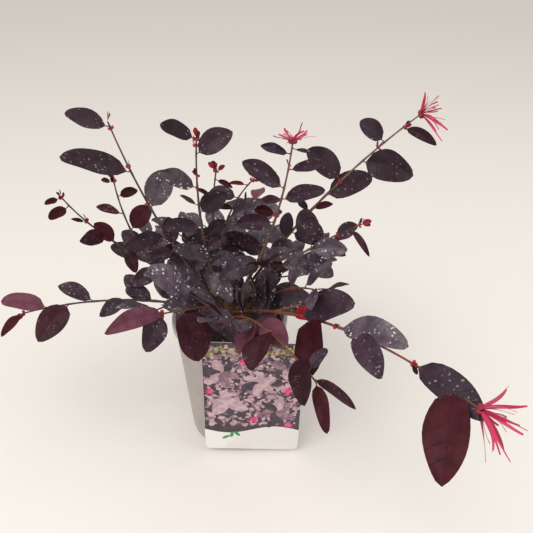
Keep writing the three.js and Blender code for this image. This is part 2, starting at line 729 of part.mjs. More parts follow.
function keepPieces(points, radius, limbName) {
  for (let k = 0; k + 1 < points.length; k++) {
    grown.pieces.push({ from: points[k], to: points[k + 1], radius, limbName });
  }
}

function lineIsClear(points, radius, limbName) {
  for (let k = 1; k + 1 < points.length; k++) {
    const [from, to] = [points[k], points[k + 1]];
    if (grown.leaves.some((leaf) => piecePierces(from, to, leaf.room, LEAF_ROOM, radius))) return false;
    for (const piece of grown.pieces) {
      if (piece.limbName === limbName) continue;
      const middle = from.clone().add(to).multiplyScalar(0.5);
      const other = piece.from.clone().add(piece.to).multiplyScalar(0.5);
      const reach = (from.distanceTo(to) + piece.from.distanceTo(piece.to)) / 2;
      if (middle.distanceTo(other) < Math.max(reach, SHOOT_ROOM) + radius + piece.radius) return false;
    }
  }
  return true;
}

// Width of a blade at a share of its length, as a share of its full breadth
function bladeWidth(share) {
  return Math.pow(Math.sin(Math.PI * Math.pow(share, LEAF_SHOULDER)), LEAF_FULLNESS);
}

// One leaf: a three-sided stalk that starts inside its twig and widens into a thin blade with a raised
// midrib and two edges, closed to a point at the tip
function leafSolid(leaf) {
  const side = leaf.normal.clone().cross(leaf.axis);
  const half = leaf.breadth / 2;
  const thick = leaf.length * LEAF_THICKNESS;
  const at = (share, across, up) => {
    const arch = LEAF_ARCH * leaf.length * 4 * share * (1 - share);
    return leaf.foot
      .clone()
      .addScaledVector(leaf.axis, leaf.length * share)
      .addScaledVector(side, across)
      .addScaledVector(leaf.normal, up)
      .add(vector(0, 0, arch));
  };
  const thin = STALK_TOP_RADIUS;
  const rings = [
    [
      leaf.root.clone().addScaledVector(side, STALK_RADIUS),
      leaf.root.clone().addScaledVector(leaf.normal, STALK_RADIUS),
      leaf.root.clone().addScaledVector(side, -STALK_RADIUS),
    ],
    [at(0, thin, -thin / 2), at(0, 0, thin), at(0, -thin, -thin / 2)],
  ];
  const under = -thick * LEAF_UNDERSIDE;
  for (const share of LEAF_STATIONS) {
    const wide = half * bladeWidth(share);
    rings.push([at(share, wide, under), at(share, 0, thick + under), at(share, -wide, under)]);
  }
  return solidOf(skin(rings, at(1, 0, 0)));
}

// Petal lines of a flower, spread about its aim by the golden angle
function petalLines(tip, flower, random) {
  const aim = direction(...flower.aim);
  const across = (Math.abs(aim.z) < 0.9 ? vector(0, 0, 1) : vector(1, 0, 0)).cross(aim).normalize();
  const up = aim.clone().cross(across);
  const [least, most] = flower.opening;
  return Array.from({ length: PETALS }, (_, k) => {
    const open = (least + (most - least) * Math.sqrt((k + 0.5) / PETALS)) * DEGREE;
    const round = k * GOLDEN_ANGLE * DEGREE;
    const reach = flower.reach * (PETAL_REACH.least + PETAL_REACH.spread * random());
    const droop = PETAL_DROOP.least + PETAL_DROOP.spread * random();
    const out = across.clone().multiplyScalar(Math.cos(round)).addScaledVector(up, Math.sin(round));
    const line = aim.clone().multiplyScalar(Math.cos(open)).addScaledVector(out, Math.sin(open));
    return [(CUP_RADIUS * PETAL_ROOT) / reach, PETAL_MIDDLE, 1].map((share) =>
      tip
        .clone()
        .addScaledVector(line, reach * share)
        .add(vector(0, 0, -droop * reach * share * share)),
    );
  });
}

// One petal: a three-sided strap that narrows a little to its end
function petalSolid(points, centre) {
  const run = points[2].clone().sub(points[0]).normalize();
  const flat = run.clone().cross(points[0].clone().sub(centre)).normalize();
  const side = flat.lengthSq() > 0.5 ? flat : run.clone().cross(vector(1, 0, 0)).normalize();
  const face = run.clone().cross(side).normalize();
  const rings = points.map((point, k) => {
    const half = (PETAL_WIDTH / 2) * (1 - PETAL_NARROWING * k);
    return [
      point.clone().addScaledVector(side, half),
      point.clone().addScaledVector(face, PETAL_THICKNESS),
      point.clone().addScaledVector(side, -half),
    ];
  });
  return solidOf(skin(rings));
}

// Joins a list of solids in pairs
function joined(solids) {
  let round = solids;
  while (round.length > 1) {
    const half = Math.ceil(round.length / 2);
    round = round.slice(0, half).map((solid, k) => {
      const partner = round[half + k];
      return partner ? solid.add(partner) : solid;
    });
  }
  return round[0];
}

const POT_LOOK = { color: 0xa59e9b, roughness: 0.6, metalness: 0 };
const SOIL_LOOK = { color: 0x2a1f1a, roughness: 1, metalness: 0 };
const CARD_LOOK = { color: 0xe9e6e2, roughness: 0.35, metalness: 0 };
const BARK_LOOK = { color: 0x6e3f2c, roughness: 0.85, metalness: 0 };
const LEAF_LOOK = { color: 0x43303c, roughness: 0.5, metalness: 0 };

addNode("pot", geometryOf(makePot()), POT_LOOK);
addNode("soil", geometryOf(makeSoil()), SOIL_LOOK);
addNode("plant_card", geometryOf(makeCard()), CARD_LOOK);
addNode("stem", makeStem(), BARK_LOOK);

// Every cane's line is laid down first, so that leaves keep clear of all of them
for (const cane of CANES) {
  cane.line = growLine(caneSeat(cane), cane);
  cane.twigs = [];
  keepPieces(cane.line, CANE_RADIUS, cane.name);
  if (cane.flower) {
    const tip = cane.line[CANE_STEPS];
    const out = cane.flower.reach * FLOWER_MIDDLE;
    const centre = tip.clone().addScaledVector(direction(...cane.flower.aim), out);
    grown.flowers.push({ centre, room: FLOWER_ROOM, limbName: cane.name });
  }
}
for (const cane of CANES) {
  const random = randomStream(cane.seed);
  const face = direction(...cane.face);
  for (const leaf of cane.leaves) growLeaf(cane.line, leaf, face, random, cane.name);
}
for (const cane of CANES) {
  const random = randomStream(cane.seed + SHOOT_STREAM);
  for (const [share, swing, length] of cane.shoots) {
    const { point } = along(cane.line, share);
    const rise = SIDE_SHOOT_RISE + SIDE_SHOOT_RISE_SPREAD * random();
    const side = cane.azimuth + cane.turn * share + swing;
    for (const more of SIDE_SHOOT_SWINGS) {
      const sway = SIDE_SHOOT_SWAY * (random() - 0.5);
      const shoot = { azimuth: side + more, turn: sway, rise, tipRise: rise + SIDE_SHOOT_BEND, length };
      const line = growLine(point, shoot);
      if (!lineIsClear(line, SIDE_SHOOT_RADIUS, cane.name)) continue;
      cane.twigs.push(line);
      keepPieces(line, SIDE_SHOOT_RADIUS, cane.name);
      const face = direction(side, SIDE_SHOOT_FACE_RISE);
      SIDE_SHOOT_LEAVES.forEach((leafLength, k) => {
        const turn = (k % 2 ? -1 : 1) * (SIDE_LEAF_TURN - SIDE_LEAF_CLOSING * k);
        const place = (k + 1) / SIDE_SHOOT_LEAVES.length;
        growLeaf(line, [place, turn, leafLength], face, random, cane.name);
      });
      break;
    }
  }
}
for (const cane of CANES) {
  const random = randomStream(cane.seed + INNER_STREAM);
  const until = INNER_UNTIL[cane.rise > LOW_RISE ? "upright" : "low"];
  const count = Math.floor((until - cane.bareShare * cane.length) / INNER_SPACING);
  for (let k = 0; k < count; k++) {
    const share = cane.bareShare + ((k + 1) * INNER_SPACING) / cane.length;
    const turn = k % 2 ? INNER_TURN : -INNER_TURN;
    const lean = k % 4 < 2 ? INNER_LEAN : -INNER_LEAN;
    const length = INNER_LENGTH.least + INNER_LENGTH.spread * random();
    growLeaf(cane.line, [share, turn, length, lean], direction(...cane.face), random, cane.name);
  }
}

for (const cane of CANES) {
  const radiusAt = (share) => CANE_RADIUS + (CANE_TIP_RADIUS - CANE_RADIUS) * share;
  const bare = cane.bareShare;
  const bough = limb(stretch(cane.line, 0, bare), radiusAt(0), radiusAt(bare), BOUGH_SIDES);
  addNode("bough_" + cane.name, bough, BARK_LOOK);
  const start = bare + BOUGH_GAP / cane.length;
  const leafy = stretch(cane.line, start, 1, SHOOT_RING_STEP);
  const shoot = limb(leafy, radiusAt(start), radiusAt(1), SHOOT_SIDES);
  const solids = [solidOf(shoot)];
  for (const line of cane.twigs) {
    const twig = stretch(line, 0, 1, TWIG_RING_STEP);
    solids.push(solidOf(limb(twig, SIDE_SHOOT_RADIUS, CANE_TIP_RADIUS, SIDE_SHOOT_SIDES)));
  }
  for (const leaf of grown.leaves.filter((one) => one.limbName === cane.name)) {
    solids.push(leafSolid(leaf));
  }
  if (cane.flower) {
    const tip = cane.line[CANE_STEPS];
    const cup = new THREE.IcosahedronGeometry(CUP_RADIUS, 0).translate(tip.x, tip.y, tip.z);
    solids.push(solidOf(cup));
    const random = randomStream(cane.seed + PETAL_STREAM);
    for (const points of petalLines(tip, cane.flower, random)) solids.push(petalSolid(points, tip));
  }
  addNode("foliage_" + cane.name, geometryOf(largestPiece(joined(solids))), LEAF_LOOK);
}

export default root;
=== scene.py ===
import math

import bmesh
import bpy
import numpy as np
from mathutils import Matrix, Vector, noise


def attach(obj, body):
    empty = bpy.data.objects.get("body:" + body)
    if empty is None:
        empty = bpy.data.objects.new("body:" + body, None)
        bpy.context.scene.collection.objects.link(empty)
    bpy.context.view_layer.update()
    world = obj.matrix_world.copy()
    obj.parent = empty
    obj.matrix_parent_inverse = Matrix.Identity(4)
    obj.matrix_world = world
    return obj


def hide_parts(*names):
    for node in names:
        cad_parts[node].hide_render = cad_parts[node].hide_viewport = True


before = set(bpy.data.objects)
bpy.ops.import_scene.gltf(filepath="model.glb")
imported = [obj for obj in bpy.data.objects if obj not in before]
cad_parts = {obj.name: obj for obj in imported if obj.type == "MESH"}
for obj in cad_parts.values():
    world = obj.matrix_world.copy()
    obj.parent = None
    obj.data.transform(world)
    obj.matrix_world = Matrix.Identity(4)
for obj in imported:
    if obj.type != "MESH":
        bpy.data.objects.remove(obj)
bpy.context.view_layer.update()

MM = 0.001
GAP = 0.3
UP = np.array([0.0, 0.0, 1.0])
SIDEWAYS = np.array([1.0, 0.0, 0.0])
# A little off upright, so that an upright line has a vector square to both
NEARLY_UP = UP + 0.01
# A unit vector that rises more than this counts as upright
UPRIGHT_ABOVE = 0.9

# Camera: its place in millimetres and its pitch in degrees, fitted to the photo's perspective
CAMERA_PLACE = (34, -500, 505)
CAMERA_PITCH = 31.7
PHOTO_SIDE = 533
FOCAL_PIXELS = 620
PRINCIPAL_PIXELS_LEFT = 2.5
SENSOR = 36

# Pot, soil and plant card
POT_HEIGHT = 140
POT_FOOT_RADIUS = 43.5
POT_TOP_RADIUS = 55
POT_WALL = 1.5
POT_FLOOR = 2.2
POT_STEPS = 128
WALL_RINGS = [20, 50, 80, 110]
RIM_HEIGHT = 8
RIM_OUT = 2.4
RIM_ROUNDING = 0.8
FOOT_ROUNDING = 2
DRAIN_HOLES = 6
DRAIN_RADIUS = 4
DRAIN_CIRCLE = 31
DRAIN_SIDES = 32
DRILL_LENGTH = 4 * POT_FLOOR
SOIL_EDGE = 128
SOIL_LEVEL = 131.5
SOIL_LEVEL_RADIUS = 24
CARD_WIDTH = 95
CARD_HEIGHT = 147
CARD_THICKNESS = 0.7
CARD_CORNER = 5
CARD_CENTRE_X = 21
CARD_FOOT = {"y": -50.2, "z": 5}
CARD_LEAN = 3.4
CARD_SKEW = 1.4
HOOK_X = 9
HOOK_WIDTH = 16
HOOK_OVER_RIM = GAP + CARD_THICKNESS / 2
HOOK_INNER_Y = -47.2
HOOK_DEPTH = 22

# Stem and canes
STEM_HEIGHT = 32
STEM_RADIUS = 6.6
STEM_TOP_RADIUS = 4.6
STEM_FLARE = 5
STEM_FLARE_HEIGHT = 5
STEM_LOBES = 5
STEM_LOBE_DEPTH = 0.4
STEM_LEAN = np.array([-1.2, 0.8])
CANE_STEPS = 14
CANE_RADIUS = 1.6
CANE_TIP_RADIUS = 0.6
SIDE_SHOOT_RADIUS = 1
SIDE_SHOOT_RISE = 8
SIDE_SHOOT_RISE_SPREAD = 14
SIDE_SHOOT_BEND = 12
SIDE_SHOOT_SWAY = 20
SIDE_SHOOT_FACE_RISE = 50
SIDE_SHOOT_SWINGS = [0, 25, -25, 50]
SIDE_SHOOT_LEAVES = [34, 38, 30]
SIDE_LEAF_TURN = 55
SIDE_LEAF_CLOSING = 15
SHOOT_ROOM = 4

# Inner leaves: the ones that fill the middle of the crown
INNER_SPACING = 11
INNER_UNTIL = {"upright": 64, "low": 58}
LOW_RISE = 25
INNER_TURN = 62
INNER_LEAN = 34
INNER_LENGTH = {"least": 24, "spread": 12}

# Leaves
LEAF_BREADTH = 0.56
LEAF_BREADTH_SPREAD = 0.12
LEAF_STALK = 3
LEAF_ARCH = 0.08
LEAF_MEAN_ARCH = 0.6
LEAF_SHOULDER = 0.9
LEAF_FULLNESS = 0.6
LEAF_TILT = 12
LEAF_ROLL = 9
LEAF_ROOM = 2.6
OWN_LEAF_ROOM = 1.1
LEAF_TRIES = [0, 12, -12, 24, -24, 36, -36]
OUTLINE_POINTS = 10
BLADE_ROWS = 10
BLADE_COLUMNS = 4
POT_ROOM = 2
CARD_ROOM = 4

# Flowers
PETALS = 12
PETAL_REACH = {"least": 0.8, "spread": 0.25}
PETAL_DROOP = {"least": 0.1, "spread": 0.25}
GOLDEN_ANGLE = 137.5
FLOWER_ROOM = 9
FLOWER_MIDDLE = 0.5

# Each kind of growth on a cane draws from a stream of its own, this far from the cane's seed
SHOOT_STREAM = 1
PETAL_STREAM = 2
YOUNG_STREAM = 3
CURL_STREAM = 4
INNER_STREAM = 5

# The canes, clockwise from the left as seen from the front, as in the model: angles in degrees, lengths
# in millimetres. A leaf is (share of the cane, turn away from it, blade length), then where needed its
# lean towards the face and its breadth as a share of a plain leaf's. Tints gives one letter for each
# leaf's colour, from the names in LEAF_TINTS. Buds are shares with a red bud cluster.
CANES = [
    dict(
        name="far_left", height=150, azimuth=145, turn=65, rise=8, tip_rise=62, length=198,
        face=(-120, 45), bare=0.3, seed=31,
        leaves=[
            (0.38, 60, 30), (0.5, 10, 28), (0.58, 145, 22), (0.64, -10, 26), (0.69, 35, 28),
            (0.82, 35, 12, 0, 0.6), (0.94, 90, 20), (1.0, 80, 13),
        ],
        tints="aawbwbbb", shoots=[(0.34, -55, 50)], buds=[0.82, 0.99],
    ),
    dict(
        name="upper_left", height=145, azimuth=175, turn=-42, rise=16, tip_rise=80, length=175,
        face=(-110, 45), bare=0.28, seed=22,
        leaves=[
            (0.4, -25, 28), (0.54, 10, 30), (0.7, -65, 28, 0, 1.2), (0.8, 65, 27, 0, 0.6),
            (0.9, -85, 18), (0.98, 70, 9),
        ],
        tints="aabwbb", shoots=[(0.33, -60, 45)], buds=[0.98],
    ),
    dict(
        name="tall_left", height=150, azimuth=190, turn=-20, rise=57, tip_rise=73, length=208,
        face=(-110, 40), bare=0.07, seed=13,
        leaves=[
            (0.09, -4, 46, 10, 1.2), (0.15, 20, 40), (0.28, 15, 26), (0.38, 80, 26), (0.4, -20, 26),
            (0.45, 65, 36, 0, 0.8), (0.6, -50, 36, 0, 1.2), (0.78, 55, 57, 0, 0.68), (0.98, 54, 34, 0, 0.9),
        ],
        tints="ggaaaagaa", shoots=[(0.17, 70, 48), (0.3, -60, 46)], buds=[0.62, 0.8, 0.97],
    ),
    dict(
        name="upright_left", height=158, azimuth=205, turn=0, rise=74, tip_rise=95, length=170,
        face=(-95, 35), bare=0.2, seed=44,
        leaves=[
            (0.28, 20, 26), (0.38, -60, 22), (0.44, -55, 24), (0.52, 85, 32, 0, 0.9), (0.6, -50, 32),
            (0.64, 60, 16, 0, 0.5), (0.74, 65, 31), (0.92, -55, 34, 0, 1.1), (1.0, 75, 29),
            (0.24, -150, 34, 25),
        ],
        tints="gaaaaagaag", shoots=[(0.26, -70, 44)], buds=[0.8, 0.96, 0.99],
    ),
    dict(
        name="thin_back", height=156, azimuth=130, turn=-65, rise=68, tip_rise=68, length=128,
        face=(-90, 40), bare=0.24, seed=55,
        leaves=[
            (0.72, -95, 16, 0, 0.7), (0.78, 65, 16, 0, 0.5), (0.92, -110, 16, 0, 0.6), (0.97, -45, 8),
            (0.98, 50, 8), (0.3, 150, 32, 25), (0.42, -90, 28, -20),
        ],
        tints="bbbrrga", shoots=[], buds=[0.97],
    ),
    dict(
        name="back_centre", height=147, azimuth=122, turn=-100, rise=68, tip_rise=40, length=135,
        face=(-90, 45), bare=0.26, seed=66,
        leaves=[
            (0.42, -100, 22), (0.54, 125, 32), (0.66, -50, 38), (0.82, 110, 28),
            (0.94, 130, 16, 0, 0.5), (1.0, 70, 8), (0.3, -140, 34, 25),
        ],
        tints="aagarbg", shoots=[(0.32, 70, 48), (0.45, -80, 40)], buds=[0.98],
    ),
    dict(
        name="upright_flower", height=158, azimuth=-20, turn=30, rise=60, tip_rise=84, length=175,
        face=(-85, 35), bare=0.15, seed=77,
        leaves=[
            (0.2, 95, 30), (0.26, 90, 34), (0.34, 135, 40), (0.42, 115, 42), (0.57, 115, 32),
            (0.62, 110, 20), (0.7, -62, 36, 0, 0.75), (0.76, 72, 40, 0, 0.8), (0.86, -75, 28, 0, 0.75),
            (0.94, 85, 24, 0, 0.7), (0.97, -100, 16, 0, 0.4), (0.17, -90, 30, 15),
        ],
        tints="gggaabaaaaag", shoots=[(0.3, -60, 44)], buds=[0.6, 0.88],
        flower=dict(aim=(90, 62), opening=(20, 75), reach=21),
    ),
    dict(
        name="tall_right", height=152, azimuth=8, turn=-8, rise=59, tip_rise=40, length=248,
        face=(-75, 40), bare=0.16, seed=88,
        leaves=[
            (0.24, -10, 28), (0.28, -150, 34), (0.34, 30, 24), (0.38, -70, 30), (0.49, 95, 12),
            (0.5, -30, 17, 0, 0.7), (0.57, -25, 42), (0.65, 92, 38, 0, 1.05), (0.75, -57, 43, 0, 1.1),
            (0.85, 98, 25, 0, 1.1), (0.93, -66, 29, 0, 0.55), (0.2, 130, 32, 20),
        ],
        tints="ggaaabaaaawg", shoots=[(0.22, 70, 46)], buds=[0.64, 0.82, 0.93],
        flower=dict(aim=(-15, 20), opening=(10, 65), reach=24),
    ),
    dict(
        name="right", height=147, azimuth=-9, turn=17, rise=58, tip_rise=20, length=153,
        face=(-70, 45), bare=0.24, seed=99,
        leaves=[
            (0.44, -165, 30), (0.57, -60, 36), (0.64, -30, 34), (0.67, 70, 34, 0, 1.2), (0.76, 110, 26),
            (0.82, 0, 21), (0.93, -80, 28, 0, 0.4), (0.98, -5, 9),
        ],
        tints="gggaaawr", shoots=[(0.32, 75, 42)], buds=[0.84, 0.98],
    ),
    dict(
        name="centre_right", height=140, azimuth=-22, turn=-40, rise=53, tip_rise=22, length=126,
        face=(-80, 40), bare=0.14, seed=110,
        leaves=[
            (0.18, -30, 38, 20), (0.32, 20, 42), (0.43, -25, 45), (0.7, 60, 26), (0.86, 50, 31),
            (0.97, -40, 27), (0.2, 100, 34, 20),
        ],
        tints="ggggggg", shoots=[(0.36, 70, 42)], buds=[0.7],
    ),
    dict(
        name="long_front_right", height=146, azimuth=-47, turn=-9, rise=33, tip_rise=-1, length=282,
        face=(-85, 40), bare=0.13, seed=121,
        leaves=[
            (0.26, -95, 44, 30, 1.15), (0.37, 22, 53), (0.41, -52, 53, 0, 1.1), (0.33, 4, 30, 12, 0.7),
            (0.54, 6, 58, 0, 0.65), (0.59, -26, 46, -15, 0.75), (0.81, -5, 58, 0, 0.7),
            (0.92, -57, 61, -5, 0.9), (0.17, 60, 34, 20),
        ],
        tints="pabrgaabg", shoots=[(0.22, 65, 44)], buds=[0.45, 0.52, 0.8],
        flower=dict(aim=(-25, -14), opening=(10, 65), reach=32),
    ),
    dict(
        name="front_low", height=140, azimuth=-70, turn=12, rise=44, tip_rise=-11, length=173,
        face=(-85, 35), bare=0.15, seed=132,
        leaves=[
            (0.24, 85, 32, 15), (0.44, -60, 32, 0, 1.2), (0.48, 0, 40), (0.58, -48, 40, 0, 1.25),
            (0.84, -22, 48, 0, 0.65), (0.94, 100, 20), (0.98, 12, 41, 0, 0.35), (1.0, -28, 36, 0, 0.6),
            (0.22, -80, 36, 20),
        ],
        tints="gppwwawbg", shoots=[(0.36, -80, 40)], buds=[0.6],
    ),
    dict(
        name="front_left", height=146, azimuth=262, turn=-50, rise=50, tip_rise=8, length=122,
        face=(-95, 40), bare=0.15, seed=143,
        leaves=[
            (0.56, 115, 44, 25, 1.2), (0.64, -40, 55, 0, 0.9), (0.75, 98, 43, 0, 1.85),
            (0.91, 50, 33, 0, 1.2), (0.9, 8, 60, 0, 0.5), (0.2, 70, 34, 20),
        ],
        tints="ggwapg", shoots=[(0.38, -90, 40)], buds=[0.9],
    ),
    dict(
        name="low_left", height=140, azimuth=163, turn=47, rise=7, tip_rise=2, length=197,
        face=(-100, 45), bare=0.22, seed=154,
        leaves=[
            (0.28, -60, 34), (0.36, -20, 30), (0.41, -50, 30), (0.49, 30, 30), (0.66, -30, 35, 0, 0.8),
            (0.78, 45, 43, 0, 1.1), (0.88, -20, 40, 0, 0.85), (1.0, 40, 28, 0, 0.55),
        ],
        tints="gaaaawpb", shoots=[(0.27, 70, 42)], buds=[0.99],
    ),
    dict(
        name="low_back_left", height=141, azimuth=112, turn=20, rise=20, tip_rise=-4, length=140,
        face=(120, 55), bare=0.28, seed=165,
        leaves=[
            (0.4, 60, 34), (0.52, -60, 40), (0.64, 60, 42), (0.76, -55, 38), (0.88, 50, 36), (0.98, -10, 32),
        ],
        tints="gaawap", shoots=[(0.35, -60, 50), (0.5, 70, 44)], buds=[0.99],
    ),
    dict(
        name="low_back", height=151, azimuth=84, turn=-10, rise=32, tip_rise=6, length=146,
        face=(90, 55), bare=0.3, seed=176,
        leaves=[
            (0.42, -60, 36), (0.54, 60, 42), (0.66, -60, 40), (0.78, 55, 36), (0.88, -50, 34),
            (0.98, 10, 30),
        ],
        tints="gaaawp", shoots=[(0.38, 65, 48), (0.5, -70, 42)], buds=[0.99],
    ),
    dict(
        name="low_back_right", height=143, azimuth=48, turn=-16, rise=22, tip_rise=-2, length=142,
        face=(50, 55), bare=0.28, seed=187,
        leaves=[
            (0.4, 60, 36), (0.52, -60, 42), (0.64, 55, 40), (0.76, -55, 38), (0.88, 50, 34), (0.98, -10, 30),
        ],
        tints="gaawaw", shoots=[(0.35, -65, 46), (0.5, 65, 44)], buds=[0.99],
    ),
]


# Growth, by the model's rule

def random_stream(seed):
    """A repeatable stream of numbers from 0 to 1, as a function to call."""
    state = seed
    word = 0xFFFFFFFF

    def draw():
        nonlocal state
        state = (state + 0x6D2B79F5) & word
        t = ((state ^ (state >> 15)) * (state | 1)) & word
        t ^= (t + (t ^ (t >> 7)) * (t | 61)) & word
        return (t ^ (t >> 14)) / 4294967296

    return draw


def unit(vector):
    return vector / np.linalg.norm(vector)


def direction(azimuth, elevation):
    """The unit vector at an azimuth and an elevation, in degrees."""
    a = math.radians(azimuth)
    e = math.radians(elevation)
    return np.array([math.cos(e) * math.cos(a), math.cos(e) * math.sin(a), math.sin(e)])


def spoke(heading, across, angle):
    """The vector square to a heading, at an angle in radians round it from one such vector."""
    return across * math.cos(angle) + np.cross(heading, across) * math.sin(angle)


def pot_radius(z):
    return POT_FOOT_RADIUS + (POT_TOP_RADIUS - POT_FOOT_RADIUS) * z / POT_HEIGHT


def card_y(z):
    """Where the card's back stands at a height, as it leans a little to the front."""
    return CARD_FOOT["y"] - math.tan(math.radians(CARD_LEAN)) * (z - CARD_FOOT["z"])


def stem_centre(height):
    share = height / STEM_HEIGHT
    return np.array([*(STEM_LEAN * share), SOIL_LEVEL + GAP + height])


def stem_radius(height, angle):
    plain = STEM_RADIUS + (STEM_TOP_RADIUS - STEM_RADIUS) * height / STEM_HEIGHT
    flare = STEM_FLARE * math.exp(-height / STEM_FLARE_HEIGHT)
    return plain + flare * (1 - STEM_LOBE_DEPTH + STEM_LOBE_DEPTH * math.cos(STEM_LOBES * angle))


def cane_seat(cane):
    """The point where a cane sets off, with its round end just clear of the stem's side."""
    height = cane["height"] - SOIL_LEVEL - GAP
    angle = math.radians(cane["azimuth"])
    up = CANE_RADIUS * math.cos(math.radians(cane["rise"]))
    inwards = CANE_RADIUS * math.sin(math.radians(cane["rise"]))
    at_top = stem_radius(height + up, angle) + inwards
    at_foot = stem_radius(height - up, angle) - inwards
    return stem_centre(height) + direction(cane["azimuth"], 0) * (max(at_top, at_foot) + GAP)


def grow_line(start, azimuth, turn, rise, tip_rise, length):
    """A cane's line: points in equal steps, with its slope and swing changing evenly on the way."""
    points = [start]
    for step in range(CANE_STEPS):
        share = (step + 0.5) / CANE_STEPS
        heading = direction(azimuth + turn * share, rise + (tip_rise - rise) * share)
        points.append(points[-1] + heading * (length / CANE_STEPS))
    return np.array(points)


def along(points, share):
    """The point and the heading at a share of a line."""
    place = min(max(share, 0), 1) * (len(points) - 1)
    step = min(int(place), len(points) - 2)
    heading = points[step + 1] - points[step]
    return points[step] + heading * (place - step), unit(heading)


def leaf_room(leaf):
    """The room that a blade keeps: an oval slab round its own plane, and points round its edge."""
    centre = leaf["foot"] + leaf["axis"] * leaf["length"] / 2
    centre = centre + UP * leaf["length"] * LEAF_ARCH * LEAF_MEAN_ARCH
    side = np.cross(leaf["normal"], leaf["axis"])
    angles = np.arange(OUTLINE_POINTS + 1) * 2 * math.pi / OUTLINE_POINTS
    long_way = np.outer(np.cos(angles), leaf["axis"]) * leaf["length"] / 2
    wide_way = np.outer(np.sin(angles), side) * leaf["breadth"] / 2
    return dict(
        centre=centre, axis=leaf["axis"], side=side, normal=leaf["normal"],
        half_length=leaf["length"] / 2, half_breadth=leaf["breadth"] / 2,
        edge=centre + long_way + wide_way,
    )


def pierces(starts, ends, room, half_thickness, more):
    """Which straight pieces come into a slab of a blade's shape, with some more room round it."""
    a = starts - room["centre"]
    b = ends - room["centre"]
    limit = half_thickness + more
    depth = a @ room["normal"]
    change = b @ room["normal"] - depth
    level = np.abs(change) < 1e-9
    slope = np.where(level, 1, change)
    first = (-limit - depth) / slope
    second = (limit - depth) / slope
    low = np.where(level, 0, np.maximum(0, np.minimum(first, second)))
    high = np.where(level, 1, np.minimum(1, np.maximum(first, second)))
    missed = np.where(level, np.abs(depth) > limit, low > high)
    x = a @ room["axis"] / (room["half_length"] + more)
    y = a @ room["side"] / (room["half_breadth"] + more)
    dx = b @ room["axis"] / (room["half_length"] + more) - x
    dy = b @ room["side"] / (room["half_breadth"] + more) - y
    square = np.maximum(dx * dx + dy * dy, 1e-12)
    nearest = np.minimum(np.maximum(-(x * dx + y * dy) / square, low), high)
    inside = (x + dx * nearest) ** 2 + (y + dy * nearest) ** 2 < 1
    return inside & ~missed


def taken(points):
    """True where any point is in or nearly at the pot, the card or the ground."""
    x, y, z = points.T
    in_pot = (np.hypot(x, y) < pot_radius(z) + RIM_OUT + POT_ROOM) & (z < POT_HEIGHT + POT_ROOM)
    across_card = np.abs(x - CARD_CENTRE_X) < CARD_WIDTH / 2 + POT_ROOM
    near_card = np.abs(y - card_y(z)) < CARD_ROOM
    low_enough = z < CARD_FOOT["z"] + CARD_HEIGHT + POT_ROOM
    return bool(np.any((z < POT_ROOM) | in_pot | (across_card & near_card & low_enough)))


def blade_points(room):
    """Points spread over a blade."""
    rows = 2 * np.arange(BLADE_ROWS + 1) / BLADE_ROWS - 1
    columns = 2 * np.arange(BLADE_COLUMNS + 1) / BLADE_COLUMNS - 1
    widths = np.sqrt(1 - rows * rows) * room["half_breadth"]
    middle = room["centre"] + np.outer(rows, room["axis"]) * room["half_length"]
    across = (widths[:, None] * columns[None, :])[:, :, None] * room["side"]
    return (middle[:, None, :] + across).reshape(-1, 3)


